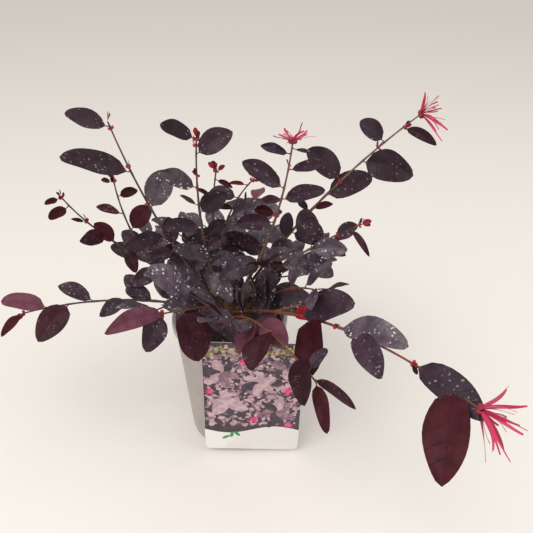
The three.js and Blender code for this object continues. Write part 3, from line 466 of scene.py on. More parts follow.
class Crown:
    """What has grown so far: blades, limbs as straight pieces, and flowers as balls."""

    def __init__(self):
        self.leaves = []
        self.starts = np.zeros((0, 3))
        self.ends = np.zeros((0, 3))
        self.radii = np.zeros(0)
        self.limbs = []
        self.flowers = []

    def keep_pieces(self, points, radius, limb):
        self.starts = np.vstack([self.starts, points[:-1]])
        self.ends = np.vstack([self.ends, points[1:]])
        self.radii = np.append(self.radii, np.full(len(points) - 1, float(radius)))
        self.limbs += [limb] * (len(points) - 1)

    def leaf_is_clear(self, leaf):
        room = leaf["room"]
        if taken(np.vstack([leaf["foot"][None, :], blade_points(room)])):
            return False
        for flower in self.flowers:
            distance = np.linalg.norm(flower["centre"] - room["centre"])
            if flower["limb"] != leaf["limb"] and distance < FLOWER_ROOM + room["half_breadth"]:
                return False
        others = np.array([limb != leaf["limb"] for limb in self.limbs])
        hit = pierces(self.starts[others], self.ends[others], room, LEAF_ROOM, self.radii[others])
        if hit.any():
            return False
        return all(self.leaves_are_apart(leaf, other) for other in self.leaves)

    def leaves_are_apart(self, leaf, other):
        room = leaf["room"]
        theirs = other["room"]
        reach = room["half_length"] + theirs["half_length"] + LEAF_ROOM
        if np.linalg.norm(room["centre"] - theirs["centre"]) > reach:
            return True
        same = other["limb"] == leaf["limb"]
        thick = OWN_LEAF_ROOM if same else LEAF_ROOM
        mine = room["edge"]
        edge = theirs["edge"]
        if pierces(mine[:-1], mine[1:], theirs, thick, 0).any():
            return False
        if pierces(edge[:-1], edge[1:], room, thick, 0).any():
            return False
        if same:
            return True
        stalk = pierces(leaf["root"][None, :], leaf["foot"][None, :], theirs, thick, 0)
        other_stalk = pierces(other["root"][None, :], other["foot"][None, :], room, thick, 0)
        return not (stalk.any() or other_stalk.any())

    def grow_leaf(self, points, row, face, draw, limb, tint):
        """Grows one leaf from a line, turned away from it in the plane that its face vector looks on.
        Where it would touch another blade or limb it is tilted, and where no tilt helps it is left out."""
        share, turn, length, lean, slim = [*row, *(0, 1)[len(row) - 3:]]
        point, heading = along(points, share)
        across = unit(np.cross(face, heading))
        outward = np.cross(heading, across)
        tilt = lean + (draw() - 0.5) * 2 * LEAF_TILT
        roll = math.radians((draw() - 0.5) * 2 * LEAF_ROLL)
        breadth = length * LEAF_BREADTH * slim * (1 + LEAF_BREADTH_SPREAD * (draw() - 0.5))
        swing = math.radians(turn)
        in_plane = heading * math.cos(swing) + across * math.sin(swing)
        for extra in LEAF_TRIES:
            lift = math.radians(tilt + extra)
            axis = in_plane * math.cos(lift) + outward * math.sin(lift)
            flat = outward * math.cos(lift) - in_plane * math.sin(lift)
            normal = flat * math.cos(roll) + np.cross(flat, axis) * math.sin(roll)
            foot = point + axis * LEAF_STALK + outward * CANE_RADIUS
            leaf = dict(
                root=point, foot=foot, axis=axis, normal=normal, length=length, breadth=breadth,
                limb=limb, tint=tint,
            )
            leaf["room"] = leaf_room(leaf)
            if self.leaf_is_clear(leaf):
                self.leaves.append(leaf)
                return leaf
        return None

    def line_is_clear(self, points, radius, limb):
        starts = points[1:-1]
        ends = points[2:]
        for leaf in self.leaves:
            if pierces(starts, ends, leaf["room"], LEAF_ROOM, radius).any():
                return False
        others = np.array([name != limb for name in self.limbs])
        their_starts = self.starts[others]
        their_ends = self.ends[others]
        middles = (their_starts + their_ends) / 2
        lengths = np.linalg.norm(their_ends - their_starts, axis=1)
        for start, end in zip(starts, ends):
            reach = np.maximum((np.linalg.norm(end - start) + lengths) / 2, SHOOT_ROOM)
            apart = np.linalg.norm(middles - (start + end) / 2, axis=1)
            if (apart < reach + radius + self.radii[others]).any():
                return False
        return True


def grow_crown():
    """Every cane's line first, then the measured leaves, the side shoots with theirs, and the inner
    leaves last."""
    crown = Crown()
    for cane in CANES:
        cane["line"] = grow_line(
            cane_seat(cane), cane["azimuth"], cane["turn"], cane["rise"], cane["tip_rise"], cane["length"]
        )
        cane["twigs"] = []
        crown.keep_pieces(cane["line"], CANE_RADIUS, cane["name"])
        if "flower" in cane:
            flower = cane["flower"]
            centre = cane["line"][-1] + direction(*flower["aim"]) * flower["reach"] * FLOWER_MIDDLE
            crown.flowers.append(dict(centre=centre, limb=cane["name"]))
    for cane in CANES:
        draw = random_stream(cane["seed"])
        face = direction(*cane["face"])
        for row, tint in zip(cane["leaves"], cane["tints"]):
            crown.grow_leaf(cane["line"], row, face, draw, cane["name"], tint)
    for cane in CANES:
        draw = random_stream(cane["seed"] + SHOOT_STREAM)
        for share, swing, length in cane["shoots"]:
            grow_side_shoot(crown, cane, share, swing, length, draw)
    for cane in CANES:
        grow_inner_leaves(crown, cane)
    return crown


def grow_inner_leaves(crown, cane):
    """Leaves between the measured ones on the inner part of a cane, to either side, front and back."""
    draw = random_stream(cane["seed"] + INNER_STREAM)
    until = INNER_UNTIL["upright" if cane["rise"] > LOW_RISE else "low"]
    count = int((until - cane["bare"] * cane["length"]) / INNER_SPACING)
    for k in range(count):
        share = cane["bare"] + (k + 1) * INNER_SPACING / cane["length"]
        turn = INNER_TURN if k % 2 else -INNER_TURN
        lean = INNER_LEAN if k % 4 < 2 else -INNER_LEAN
        length = INNER_LENGTH["least"] + INNER_LENGTH["spread"] * draw()
        row = (share, turn, length, lean)
        crown.grow_leaf(cane["line"], row, direction(*cane["face"]), draw, cane["name"], "g")


def grow_side_shoot(crown, cane, share, swing, length, draw):
    point, _ = along(cane["line"], share)
    rise = SIDE_SHOOT_RISE + SIDE_SHOOT_RISE_SPREAD * draw()
    side = cane["azimuth"] + cane["turn"] * share + swing
    for more in SIDE_SHOOT_SWINGS:
        sway = SIDE_SHOOT_SWAY * (draw() - 0.5)
        line = grow_line(point, side + more, sway, rise, rise + SIDE_SHOOT_BEND, length)
        if not crown.line_is_clear(line, SIDE_SHOOT_RADIUS, cane["name"]):
            continue
        cane["twigs"].append(line)
        crown.keep_pieces(line, SIDE_SHOOT_RADIUS, cane["name"])
        face = direction(side, SIDE_SHOOT_FACE_RISE)
        for k, leaf_length in enumerate(SIDE_SHOOT_LEAVES):
            turn = (-1 if k % 2 else 1) * (SIDE_LEAF_TURN - SIDE_LEAF_CLOSING * k)
            place = (k + 1) / len(SIDE_SHOOT_LEAVES)
            crown.grow_leaf(line, (place, turn, leaf_length), face, draw, cane["name"], "g")
        return


# Finer growth that the model leaves out: tufts of young red leaves at the tips, and small buds in the
# corners of leaves
YOUNG_LEAVES = 2
YOUNG_LENGTH = {"least": 4.5, "spread": 4}
YOUNG_BREADTH = 0.62
YOUNG_OPENING = {"least": 18, "spread": 34}
YOUNG_STALK = 1.2
BUDS = 6
BUD_LENGTH = {"least": 2.1, "spread": 1.6}
BUD_SHAPE = 0.4
BUD_SIDES = 8
BUD_SPLAY = 0.7
BUD_OUT = 0.8
# Outline of a bud: shares of its length, and its breadth there as a share of its full breadth
BUD_SHARES = np.array([0, 0.2, 0.45, 0.7, 0.9])
BUD_BREADTHS = np.array([0.45, 0.85, 1, 0.7, 0.25])


def grow_young(crown):
    """Young leaves round each cane's tip and each bud cluster: small, upright and folded."""
    young = []
    for cane in CANES:
        draw = random_stream(cane["seed"] + YOUNG_STREAM)
        places = [*cane["buds"]] + ([] if "flower" in cane else [1.0])
        for share in places:
            point, heading = along(cane["line"], share)
            for k in range(YOUNG_LEAVES):
                angle = math.radians(k * GOLDEN_ANGLE + 360 * draw())
                out = spoke(heading, unit(np.cross(heading, NEARLY_UP)), angle)
                open_by = math.radians(YOUNG_OPENING["least"] + YOUNG_OPENING["spread"] * draw())
                axis = heading * math.cos(open_by) + out * math.sin(open_by)
                facing = UP + out
                normal = unit(facing - axis * (facing @ axis))
                length = YOUNG_LENGTH["least"] + YOUNG_LENGTH["spread"] * draw()
                leaf = dict(
                    root=point, foot=point + axis * YOUNG_STALK, axis=axis, normal=normal, length=length,
                    breadth=length * YOUNG_BREADTH, limb=cane["name"], tint="r" if k else "b",
                )
                leaf["room"] = leaf_room(leaf)
                if crown.leaf_is_clear(leaf):
                    young.append(leaf)
    return young


# Joined meshes

class Joined:
    """Many small closed shapes, gathered from arrays into one mesh."""

    def __init__(self):
        self.points = []
        self.faces = []
        self.tints = []
        self.tones = []
        self.uvs = []
        self.count = 0

    def add(self, points, faces, tints, tone=0.5, uvs=None):
        """Points in millimetres, faces as index tuples, one tint for each face or one for all, and a
        tone from 0 to 1 that says how light this one is among its like."""
        self.points.append(np.asarray(points) * MM)
        self.faces += [tuple(i + self.count for i in face) for face in faces]
        self.tints += tints if isinstance(tints, list) else [tints] * len(faces)
        self.tones += [tone] * len(points)
        if uvs is not None:
            self.uvs += uvs
        self.count += len(points)

    def piece(self, name, materials, slot, nodes, sharp_above=None):
        data = bpy.data.meshes.new(name)
        data.from_pydata(np.vstack(self.points).tolist(), [], self.faces)
        data.polygons.foreach_set("material_index", self.tints)
        tones = data.attributes.new("tone", "FLOAT", "POINT")
        tones.data.foreach_set("value", self.tones)
        if self.uvs:
            layer = data.uv_layers.new(name="blade")
            layer.data.foreach_set("uv", np.array(self.uvs, np.float32).ravel())
        data.validate()
        return finished(name, data, materials, nodes, sharp_above)


def finished(name, data, materials, nodes, sharp_above=None):
    """Makes an object of a mesh, with its materials, its body and the nodes that it stands for."""
    data.shade_smooth()
    if sharp_above is not None:
        data.set_sharp_from_angle(angle=math.radians(sharp_above))
    for material in materials:
        data.materials.append(material)
    piece = bpy.data.objects.new(name, data)
    bpy.context.scene.collection.objects.link(piece)
    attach(piece, "root")
    if nodes:
        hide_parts(*nodes)
    return piece


def mesh_of(name, mesh):
    """The finished data of a bmesh."""
    data = bpy.data.meshes.new(name)
    mesh.to_mesh(data)
    mesh.free()
    return data


def smooth_line(points, steps):
    """A smooth line through the points, with this many steps between each two."""
    padded = np.vstack([2 * points[0] - points[1], points, 2 * points[-1] - points[-2]])
    made = []
    for k in range(1, len(padded) - 2):
        before, start, end, after = padded[k - 1:k + 3]
        for step in range(steps):
            t = step / steps
            bend = 2 * start + (end - before) * t
            bend = bend + (2 * before - 5 * start + 4 * end - after) * t * t
            bend = bend + (3 * start - before - 3 * end + after) * t ** 3
            made.append(bend / 2)
    return np.array(made + [points[-1]])


def line_headings(points):
    """The unit heading at each point of a line."""
    headings = np.gradient(points, axis=0)
    return headings / np.linalg.norm(headings, axis=1)[:, None]


def square_to(line):
    """A unit vector square to a line."""
    return unit(np.cross(SIDEWAYS if abs(line[2]) > UPRIGHT_ABOVE else UP, line))


def ring_faces(rings, sides):
    """The quads between rings of vertices, each ring numbered on from the one before."""
    faces = []
    for ring in range(rings - 1):
        for i in range(sides):
            a = ring * sides + i
            b = ring * sides + (i + 1) % sides
            faces.append((a, b, b + sides, a + sides))
    return faces


# How far a tube's foot runs out past its first ring, as a share of the ring's radius
TUBE_FOOT = 0.5


def tube(points, radii, sides):
    """A closed tube along a line, with a point at each end."""
    headings = line_headings(points)
    across = square_to(headings[0])
    angles = np.arange(sides) * 2 * math.pi / sides
    rings = []
    for point, heading, radius in zip(points, headings, radii):
        across = unit(across - heading * (across @ heading))
        up = np.cross(heading, across)
        round_way = np.outer(np.cos(angles), across) + np.outer(np.sin(angles), up)
        rings.append(point + round_way * radius)
    foot = points[:1] - headings[:1] * radii[0] * TUBE_FOOT
    tip = points[-1:] + headings[-1:] * radii[-1]
    faces = ring_faces(len(points), sides)
    start = len(points) * sides
    last = start - sides
    for i in range(sides):
        following = (i + 1) % sides
        faces.append((following, i, start))
        faces.append((last + i, last + following, start + 1))
    return np.vstack([*rings, foot, tip]), faces


# Leaf blades: the net of rows and columns, then relief in millimetres on a blade of the relief length,
# which is less on a shorter one, angles in degrees, and waves and curls as shares of a blade's length
VEIN_PAIRS = 6
ROWS = 2 * VEIN_PAIRS
HALF_COLUMNS = 3
VEIN_SLANT = 0.14
VEIN_BOW = 1.2
EDGE_RELIEF = 0.2
BLADE_THICKNESS = 0.4
MIDRIB_SUNK = 0.3
MIDRIB_UNDER = 0.5
VEIN_RELIEF = 0.28
RELIEF_LENGTH = 40
BLADE_FOLD = {"least": 4, "spread": 12}
BLADE_TWIST = 10
BLADE_WAVE = 0.03
BLADE_WAVES = 1.4
BLADE_CURL = {"least": -0.015, "spread": 0.05}
FULLNESS_SPREAD = 0.16


def blade_width(share, fullness):
    """Width of a blade at a share of its length, as a share of its full breadth."""
    return np.sin(np.pi * np.clip(share, 0, 1) ** LEAF_SHOULDER) ** fullness


def blade_grid():
    """One blade's net, for every leaf. Its rows run out from the midrib along the side veins and between
    them. Each vertex is (share along, place across, share at the edge, relief, under, share at the
    midrib), where across goes from -1 to 1, relief is -1 on a vein and 1 between, and under is 1 below
    the blade."""
    columns = np.arange(-HALF_COLUMNS, HALF_COLUMNS + 1) / HALF_COLUMNS
    places = [(0.0, 0.0, 0.0, 0.0, 0.0, 0.0), (1.0, 0.0, 1.0, 0.0, 0.0, 1.0)]
    top = {}
    under = {}
    for row in range(1, ROWS):
        middle = row / ROWS
        edge = middle + VEIN_SLANT * math.sin(math.pi * middle)
        relief = -1 if row % 2 else 1
        for c, column in enumerate(columns):
            share = middle + (edge - middle) * abs(column) ** VEIN_BOW
            height = relief * math.sin(math.pi * abs(column)) * (1 + EDGE_RELIEF - abs(column))
            top[row, c] = len(places)
            places.append((share, column, edge, height, 0.0, middle))
            if 0 < c < 2 * HALF_COLUMNS:
                under[row, c] = len(places)
                places.append((share, column, edge, height, 1.0, middle))
            else:
                under[row, c] = top[row, c]
    faces = []
    sides = []
    for net, turned, side in ((top, True, 0), (under, False, 1)):
        for c in range(2 * HALF_COLUMNS):
            strip = [(0, net[1, c + 1], net[1, c]), (1, net[ROWS - 1, c], net[ROWS - 1, c + 1])]
            for r in range(1, ROWS - 1):
                strip.append((net[r, c], net[r, c + 1], net[r + 1, c + 1], net[r + 1, c]))
            for face in strip:
                faces.append((face[0], *face[:0:-1]) if turned else face)
                sides.append(side)
    return np.array(places), faces, sides


BLADE_PLACES, BLADE_FACES, BLADE_SIDES = blade_grid()
BLADE_UVS = [((BLADE_PLACES[i][1] + 1) / 2, BLADE_PLACES[i][5]) for face in BLADE_FACES for i in face]

# Skins of the upper side and the underside by letter, as places in the list of leaf skins
LEAF_TINTS = {"a": (0, 5), "g": (1, 5), "w": (2, 6), "p": (3, 6), "b": (4, 6), "r": (7, 7)}


def add_blade(mesh, leaf, draw):
    """One blade: folded along its midrib, arched, a little twisted and wavy, with its veins sunk in."""
    along_it, across, edge, relief, under, _ = BLADE_PLACES.T
    length = leaf["length"]
    small = min(length / RELIEF_LENGTH, 1)
    fullness = LEAF_FULLNESS + FULLNESS_SPREAD * (draw() - 0.5)
    width = leaf["breadth"] / 2 * blade_width(edge, fullness) * across
    twist = np.radians((draw() - 0.5) * 2 * BLADE_TWIST) * (along_it - 0.5)
    fold = math.radians(BLADE_FOLD["least"] + BLADE_FOLD["spread"] * draw())
    wave_start = 2 * math.pi * draw()
    ripple = np.sin(2 * math.pi * BLADE_WAVES * along_it + wave_start + across)
    wave = BLADE_WAVE * length * across ** 2 * ripple
    curl = (BLADE_CURL["least"] + BLADE_CURL["spread"] * draw()) * length * along_it ** 3
    inner = 1 - np.abs(across)
    lift = np.abs(width) * math.tan(fold) + wave - curl
    lift = lift + relief * VEIN_RELIEF * small
    lift = lift - MIDRIB_SUNK * small * (across == 0) * (along_it > 0) * (along_it < 1)
    lift = lift - under * (BLADE_THICKNESS * small * inner ** 0.5 + MIDRIB_UNDER * small * (across == 0))
    side = np.cross(leaf["normal"], leaf["axis"])
    turned = width * np.cos(twist) - lift * np.sin(twist)
    raised = width * np.sin(twist) + lift * np.cos(twist)
    arch = LEAF_ARCH * length * 4 * along_it * (1 - along_it)
    points = leaf["foot"] + np.outer(along_it * length, leaf["axis"])
    points = points + np.outer(turned, side) + np.outer(raised, leaf["normal"]) + np.outer(arch, UP)
    top, below = LEAF_TINTS[leaf["tint"]]
    tints = [below if s else top for s in BLADE_SIDES]
    mesh.add(points, BLADE_FACES, tints, draw(), BLADE_UVS)


# Tints of the twigs' and stalks' bark, in the order of its materials
ORANGE_BARK = 0
TAN_BARK = 1
BROWN_BARK = 2
STALK_BARK = 3

# A stalk: its radii at root, middle and end, the share of the blade that it runs under, the share of the
# blade's arch that it rises by there, and how much thicker a small leaf's stalk is than its blade's scale
STALK_RADII = (0.75, 0.5, 0.45)
STALK_SIDES = 6
STALK_UNDER = 0.06
STALK_LIFT = 0.2
STALK_MORE = 0.4


def add_stalk(mesh, leaf):
    """The stalk, from inside the twig to a little way under the blade."""
    small = min(leaf["length"] / RELIEF_LENGTH + STALK_MORE, 1)
    inside = leaf["foot"] + leaf["axis"] * leaf["length"] * STALK_UNDER
    inside = inside + UP * leaf["length"] * LEAF_ARCH * STALK_LIFT
    inside = inside - leaf["normal"] * STALK_RADII[-1] * small
    middle = (leaf["root"] + leaf["foot"]) / 2
    points = smooth_line(np.array([leaf["root"], middle, leaf["foot"], inside]), 2)
    radii = np.interp(np.linspace(0, 2, len(points)), [0, 1, 2], STALK_RADII) * small
    made, faces = tube(points, radii, STALK_SIDES)
    mesh.add(made, faces, STALK_BARK)


def add_bud(mesh, base, axis, length):
    """A pointed oval bud, as a short closed tube."""
    made, faces = tube(
        base + np.outer(BUD_SHARES * length, axis), length * BUD_SHAPE * BUD_BREADTHS, BUD_SIDES
    )
    mesh.add(made, faces, 0)


TWIG_SIDES = 8
TWIG_SMOOTHING = 4
NODE_SWELLING = 0.3
NODE_WIDTH = 0.018
SHOOT_NODES = [1 / 3, 2 / 3]
# Bark of the canes that aren't brown
SHOOT_BARKS = {
    "long_front_right": ORANGE_BARK, "front_low": ORANGE_BARK, "front_left": ORANGE_BARK,
    "centre_right": ORANGE_BARK, "upright_flower": TAN_BARK, "tall_right": TAN_BARK, "right": TAN_BARK,
}


def twig_radii(shares, start, end, nodes):
    """A twig's taper, a little swollen where a leaf leaves it."""
    plain = start + (end - start) * shares
    swelling = sum(np.exp(-((shares - node) / NODE_WIDTH) ** 2) for node in nodes) if nodes else 0
    return plain * (1 + NODE_SWELLING * np.minimum(swelling, 1))


def add_twig(mesh, line, start, end, nodes, tint, from_share=0.0):
    points = smooth_line(line, TWIG_SMOOTHING)
    shares = np.linspace(0, 1, len(points))
    kept = shares >= from_share
    radii = twig_radii(shares, start, end, nodes)
    made, faces = tube(points[kept], radii[kept], TWIG_SIDES)
    mesh.add(made, faces, tint)


# Flowers: thin straps that spring from small cups. Widths are in millimetres, curls as shares of a
# strap's reach, and the broadest place comes nearer to the foot with a smaller taper
EXTRA_PETALS = 8
EXTRA_REACH = 0.8
PETAL_STEPS = 12
PETAL_SIDES = 4
PETAL_START = 0.12
PETAL_WIDTH = 2.64
PETAL_TAPER = 0.7
PETAL_THICKNESS = 0.35
PETAL_SWING = 0.52
PETAL_CURL = 0.26
PETAL_CURL_BACK = 0.4
PETAL_RIPPLE = 3
CALYX_BUDS = 6
CALYX_SPLAY = 0.8
CALYX_SUNK = 1.5
CALYX_LENGTH = 4.5
CUP_SUNK = 2
CUP_LENGTH = 5


def add_petal(mesh, centre, line, reach, droop, draw):
    """One strap: flat, narrow at its foot, bent under its weight and curled at its end."""
    shares = np.linspace(PETAL_START, 1, PETAL_STEPS)
    side = unit(np.cross(line, NEARLY_UP))
    swing = PETAL_SWING * reach * (draw() - 0.5)
    curl = PETAL_CURL * reach * (draw() - PETAL_CURL_BACK)
    wave = 2 * math.pi * draw()
    rolled = curl * shares ** 3 * np.sin(PETAL_RIPPLE * shares + wave)
    points = centre + np.outer(shares * reach, line)
    points = points - np.outer(droop * reach * shares ** 2, UP)
    points = points + np.outer(swing * shares ** 3, side)
    points = points + np.outer(rolled, np.cross(side, line))
    half_widths = PETAL_WIDTH / 4 * (1 + np.sin(math.pi * shares ** PETAL_TAPER))
    turns = math.pi * (draw() - 0.5) * shares
    rings = []
    for point, heading, half_width, turn in zip(points, line_headings(points), half_widths, turns):
        across = unit(side - heading * (side @ heading))
        wide = spoke(heading, across, turn)
        thick = np.cross(heading, wide) * PETAL_THICKNESS / 2
        rings += [point + wide * half_width, point + thick, point - wide * half_width, point - thick]
    foot = range(PETAL_SIDES - 1, -1, -1)
    tip = range(len(rings) - PETAL_SIDES, len(rings))
    faces = ring_faces(PETAL_STEPS, PETAL_SIDES) + [tuple(foot), tuple(tip)]
    mesh.add(np.array(rings), faces, 0, draw())


def add_flower(petals, cups, cane):
    flower = cane["flower"]
    tip = cane["line"][-1]
    aim = direction(*flower["aim"])
    across = square_to(aim)
    least, most = flower["opening"]
    draw = random_stream(cane["seed"] + PETAL_STREAM)
    fine = random_stream(cane["seed"] + CURL_STREAM)
    for k in range(PETALS + EXTRA_PETALS):
        opened = math.radians(least + (most - least) * math.sqrt((k % PETALS + 0.5) / PETALS))
        reach = flower["reach"] * (PETAL_REACH["least"] + PETAL_REACH["spread"] * draw())
        droop = PETAL_DROOP["least"] + PETAL_DROOP["spread"] * draw()
        out = spoke(aim, across, math.radians(k * GOLDEN_ANGLE))
        line = aim * math.cos(opened) + out * math.sin(opened)
        add_petal(petals, tip, line, reach * (1 if k < PETALS else EXTRA_REACH), droop, fine)
    for k in range(CALYX_BUDS):
        out = spoke(aim, across, 2 * math.pi * k / CALYX_BUDS)
        add_bud(cups, tip - aim * CALYX_SUNK + out, unit(aim + out * CALYX_SPLAY), CALYX_LENGTH)
    add_bud(cups, tip - aim * CUP_SUNK, aim, CUP_LENGTH)


# Materials

def linear(colour):
    """An sRGB hex colour as linear red, green, blue and alpha."""
    parts = [int(colour[i:i + 2], 16) / 255 for i in (1, 3, 5)]
    return [p / 12.92 if p <= 0.04045 else ((p + 0.055) / 1.055) ** 2.4 for p in parts] + [1]


def add_node(tree, kind, inputs=None, **settings):
    """Adds a node with its settings, and fills or links its inputs."""
    made = tree.nodes.new(kind)
    for name, value in settings.items():
        setattr(made, name, value)
    for name, value in (inputs or {}).items():
        if isinstance(value, bpy.types.NodeSocket):
            tree.links.new(value, made.inputs[name])
        else:
            made.inputs[name].default_value = value
    return made


def start_material(name, **sockets):
    """A material with plain values on its shader's own sockets."""
    material = bpy.data.materials.new(name)
    material.use_nodes = True
    tree = material.node_tree
    shader = tree.nodes["Principled BSDF"]
    for socket, value in sockets.items():
        shader.inputs[socket.replace("_", " ")].default_value = value
    return material, tree, shader


# Number of the mix node's sockets for a share, two colours and their result
MIX_SHARE = 0
MIX_FIRST = 6
MIX_SECOND = 7
MIX_RESULT = 2


def soft_patches(tree, first, second, size, low=0.35, high=0.65):
    """Two near colours mixed in soft patches of a real size in millimetres."""
    place = add_node(tree, "ShaderNodeTexCoord").outputs["Object"]
    cloud = add_node(tree, "ShaderNodeTexNoise", {"Vector": place, "Scale": 1 / (size * MM), "Detail": 3})
    share = add_node(
        tree, "ShaderNodeMapRange", {"Value": cloud.outputs[0], "From Min": low, "From Max": high}
    )
    mixed = add_node(
        tree, "ShaderNodeMix",
        {MIX_SHARE: share.outputs[0], MIX_FIRST: linear(first), MIX_SECOND: linear(second)},
        data_type="RGBA",
    )
    return mixed.outputs[MIX_RESULT]


def rough_surface(tree, shader, size, strength, depth):
    """Fine relief of a real grain size and depth in millimetres, on the shader's normal."""
    place = add_node(tree, "ShaderNodeTexCoord").outputs["Object"]
    grain = add_node(tree, "ShaderNodeTexNoise", {"Vector": place, "Scale": 1 / (size * MM), "Detail": 4})
    bump = add_node(
        tree, "ShaderNodeBump", {"Height": grain.outputs[0], "Strength": strength, "Distance": depth * MM}
    )
    tree.links.new(bump.outputs[0], shader.inputs["Normal"])


# Leaf skins: the size of their patches and grain and the grain's depth in millimetres, then how far a dark
# and a light leaf are from the named colours, and the veins, with half their width as a share of the
# distance between side veins and of the blade's breadth
LEAF_PATCH = 8
LEAF_GRAIN = 0.9
LEAF_GRAIN_DEPTH = 0.4
LEAF_GRAIN_STRENGTH = 0.6
TONE_DARK = 0.6
TONE_LIGHT = 1.4
VEIN_COLOUR = "#35161e"
VEIN_WIDTH = 0.07
VEIN_STRENGTH = 0.25
# Dried water marks: the distance between them, their radius and their full white middle as shares of it,
# how far noise of a real size makes them uneven, and the noise that gathers them in clusters
SPECK_SPACING = 3.4
SPECK_RADIUS = 0.26
SPECK_MIDDLE = 0.13
SPECK_RAGGED = 0.9
SPECK_RAGGED_SIZE = 2.5
SPECK_CLUSTER = 13
SPECK_CLUSTER_FROM = 0.44
SPECK_CLUSTER_FULL = 0.6
SPECK_COLOUR = "#d6ced3"


def leaf_skin(name, first, second, specks, roughness, gloss):
    """A leathery leaf skin: two near tones in patches, some leaves darker than others, darker side veins
    and midrib along the blade's own net, and clustered uneven dried water marks."""
    material, tree, shader = start_material(name, Roughness=roughness, Specular_IOR_Level=gloss)
    place = add_node(tree, "ShaderNodeTexCoord").outputs["Object"]
    colour = soft_patches(tree, first, second, size=LEAF_PATCH)
    tone = add_node(tree, "ShaderNodeAttribute", attribute_name="tone")
    darkness = add_node(
        tree, "ShaderNodeMapRange", {"Value": tone.outputs["Fac"], "To Min": TONE_DARK, "To Max": TONE_LIGHT}
    )
    toned = add_node(
        tree, "ShaderNodeVectorMath", {0: colour, "Scale": darkness.outputs[0]}, operation="SCALE"
    )
    colour = toned.outputs[0]
    # Water marks: round each point of a Voronoi pattern, uneven at the edge, and only where a cloud is dense
    if specks > 0:
        marks = add_node(
            tree, "ShaderNodeTexVoronoi", {"Vector": place, "Scale": 1 / (SPECK_SPACING * MM)}
        )
        ragged = add_node(
            tree, "ShaderNodeTexNoise", {"Vector": place, "Scale": 1 / (SPECK_RAGGED_SIZE * MM), "Detail": 1}
        )
        uneven = add_node(
            tree, "ShaderNodeMath", {0: ragged.outputs[0], 1: SPECK_RAGGED, 2: marks.outputs[0]},
            operation="MULTIPLY_ADD",
        )
        mark = add_node(
            tree, "ShaderNodeMapRange",
            {
                "Value": uneven.outputs[0], "From Min": SPECK_RADIUS + SPECK_RAGGED / 2,
                "From Max": SPECK_MIDDLE + SPECK_RAGGED / 2,
            },
        )
        cloud = add_node(
            tree, "ShaderNodeTexNoise", {"Vector": place, "Scale": 1 / (SPECK_CLUSTER * MM), "Detail": 1}
        )
        near = add_node(
            tree, "ShaderNodeMapRange",
            {
                "Value": cloud.outputs[0], "From Min": SPECK_CLUSTER_FROM, "From Max": SPECK_CLUSTER_FULL,
                "To Max": specks,
            },
        )
        speck = add_node(
            tree, "ShaderNodeMath", {0: mark.outputs[0], 1: near.outputs[0]}, operation="MULTIPLY"
        )
        marked = add_node(
            tree, "ShaderNodeMix",
            {MIX_SHARE: speck.outputs[0], MIX_FIRST: colour, MIX_SECOND: linear(SPECK_COLOUR)},
            data_type="RGBA",
        )
        colour = marked.outputs[MIX_RESULT]
    # Veins: the midrib, and the side veins along the net's odd rows, whichever is nearer
    net = add_node(tree, "ShaderNodeUVMap", uv_map="blade")
    axes = add_node(tree, "ShaderNodeSeparateXYZ", {0: net.outputs[0]})
    rows = add_node(
        tree, "ShaderNodeMath", {0: axes.outputs[1], 1: VEIN_PAIRS, 2: -0.5}, operation="MULTIPLY_ADD"
    )
    from_side_vein = add_node(tree, "ShaderNodeMath", {0: rows.outputs[0], 1: 0.5}, operation="PINGPONG")
    from_middle = add_node(tree, "ShaderNodeMath", {0: axes.outputs[0], 1: 0.5}, operation="SUBTRACT")
    from_midrib = add_node(tree, "ShaderNodeMath", {0: from_middle.outputs[0]}, operation="ABSOLUTE")
    from_vein = add_node(
        tree, "ShaderNodeMath", {0: from_side_vein.outputs[0], 1: from_midrib.outputs[0]},
        operation="MINIMUM",
    )
    vein = add_node(
        tree, "ShaderNodeMapRange",
        {"Value": from_vein.outputs[0], "From Max": VEIN_WIDTH, "To Min": 1, "To Max": 0},
    )
    faint_vein = add_node(
        tree, "ShaderNodeMath", {0: vein.outputs[0], 1: VEIN_STRENGTH}, operation="MULTIPLY"
    )
    veined = add_node(
        tree, "ShaderNodeMix",
        {MIX_SHARE: faint_vein.outputs[0], MIX_FIRST: colour, MIX_SECOND: linear(VEIN_COLOUR)},
        data_type="RGBA",
    )
    tree.links.new(veined.outputs[MIX_RESULT], shader.inputs["Base Color"])
    # A fine leathery grain, with the veins sunk into it
    grain = add_node(
        tree, "ShaderNodeTexNoise", {"Vector": place, "Scale": 1 / (LEAF_GRAIN * MM), "Detail": 2}
    )
    depth = add_node(tree, "ShaderNodeMath", {0: grain.outputs[0], 1: vein.outputs[0]}, operation="SUBTRACT")
    bump = add_node(
        tree, "ShaderNodeBump",
        {"Height": depth.outputs[0], "Strength": LEAF_GRAIN_STRENGTH, "Distance": LEAF_GRAIN_DEPTH * MM},
    )
    tree.links.new(bump.outputs[0], shader.inputs["Normal"])
    return material


def bark(name, first, second, size):
    """Young woody bark: two near tones in patches and a fine rough grain, dry and matt."""
    material, tree, shader = start_material(name, Roughness=0.75)
    tree.links.new(soft_patches(tree, first, second, size), shader.inputs["Base Color"])
    rough_surface(tree, shader, size=1.2, strength=0.5, depth=0.3)
    return material


def petal_skin(name, deep, bright):
    """Thin petal tissue: soft and bright, each strap between a deep crimson and a pink of its own."""
    material, tree, shader = start_material(name, Roughness=0.5, Sheen_Weight=0.1)
    tone = add_node(tree, "ShaderNodeAttribute", attribute_name="tone")
    mixed = add_node(
        tree, "ShaderNodeMix",
        {MIX_SHARE: tone.outputs["Fac"], MIX_FIRST: linear(deep), MIX_SECOND: linear(bright)},
        data_type="RGBA",
    )
    tree.links.new(mixed.outputs[MIX_RESULT], shader.inputs["Base Color"])
    return material


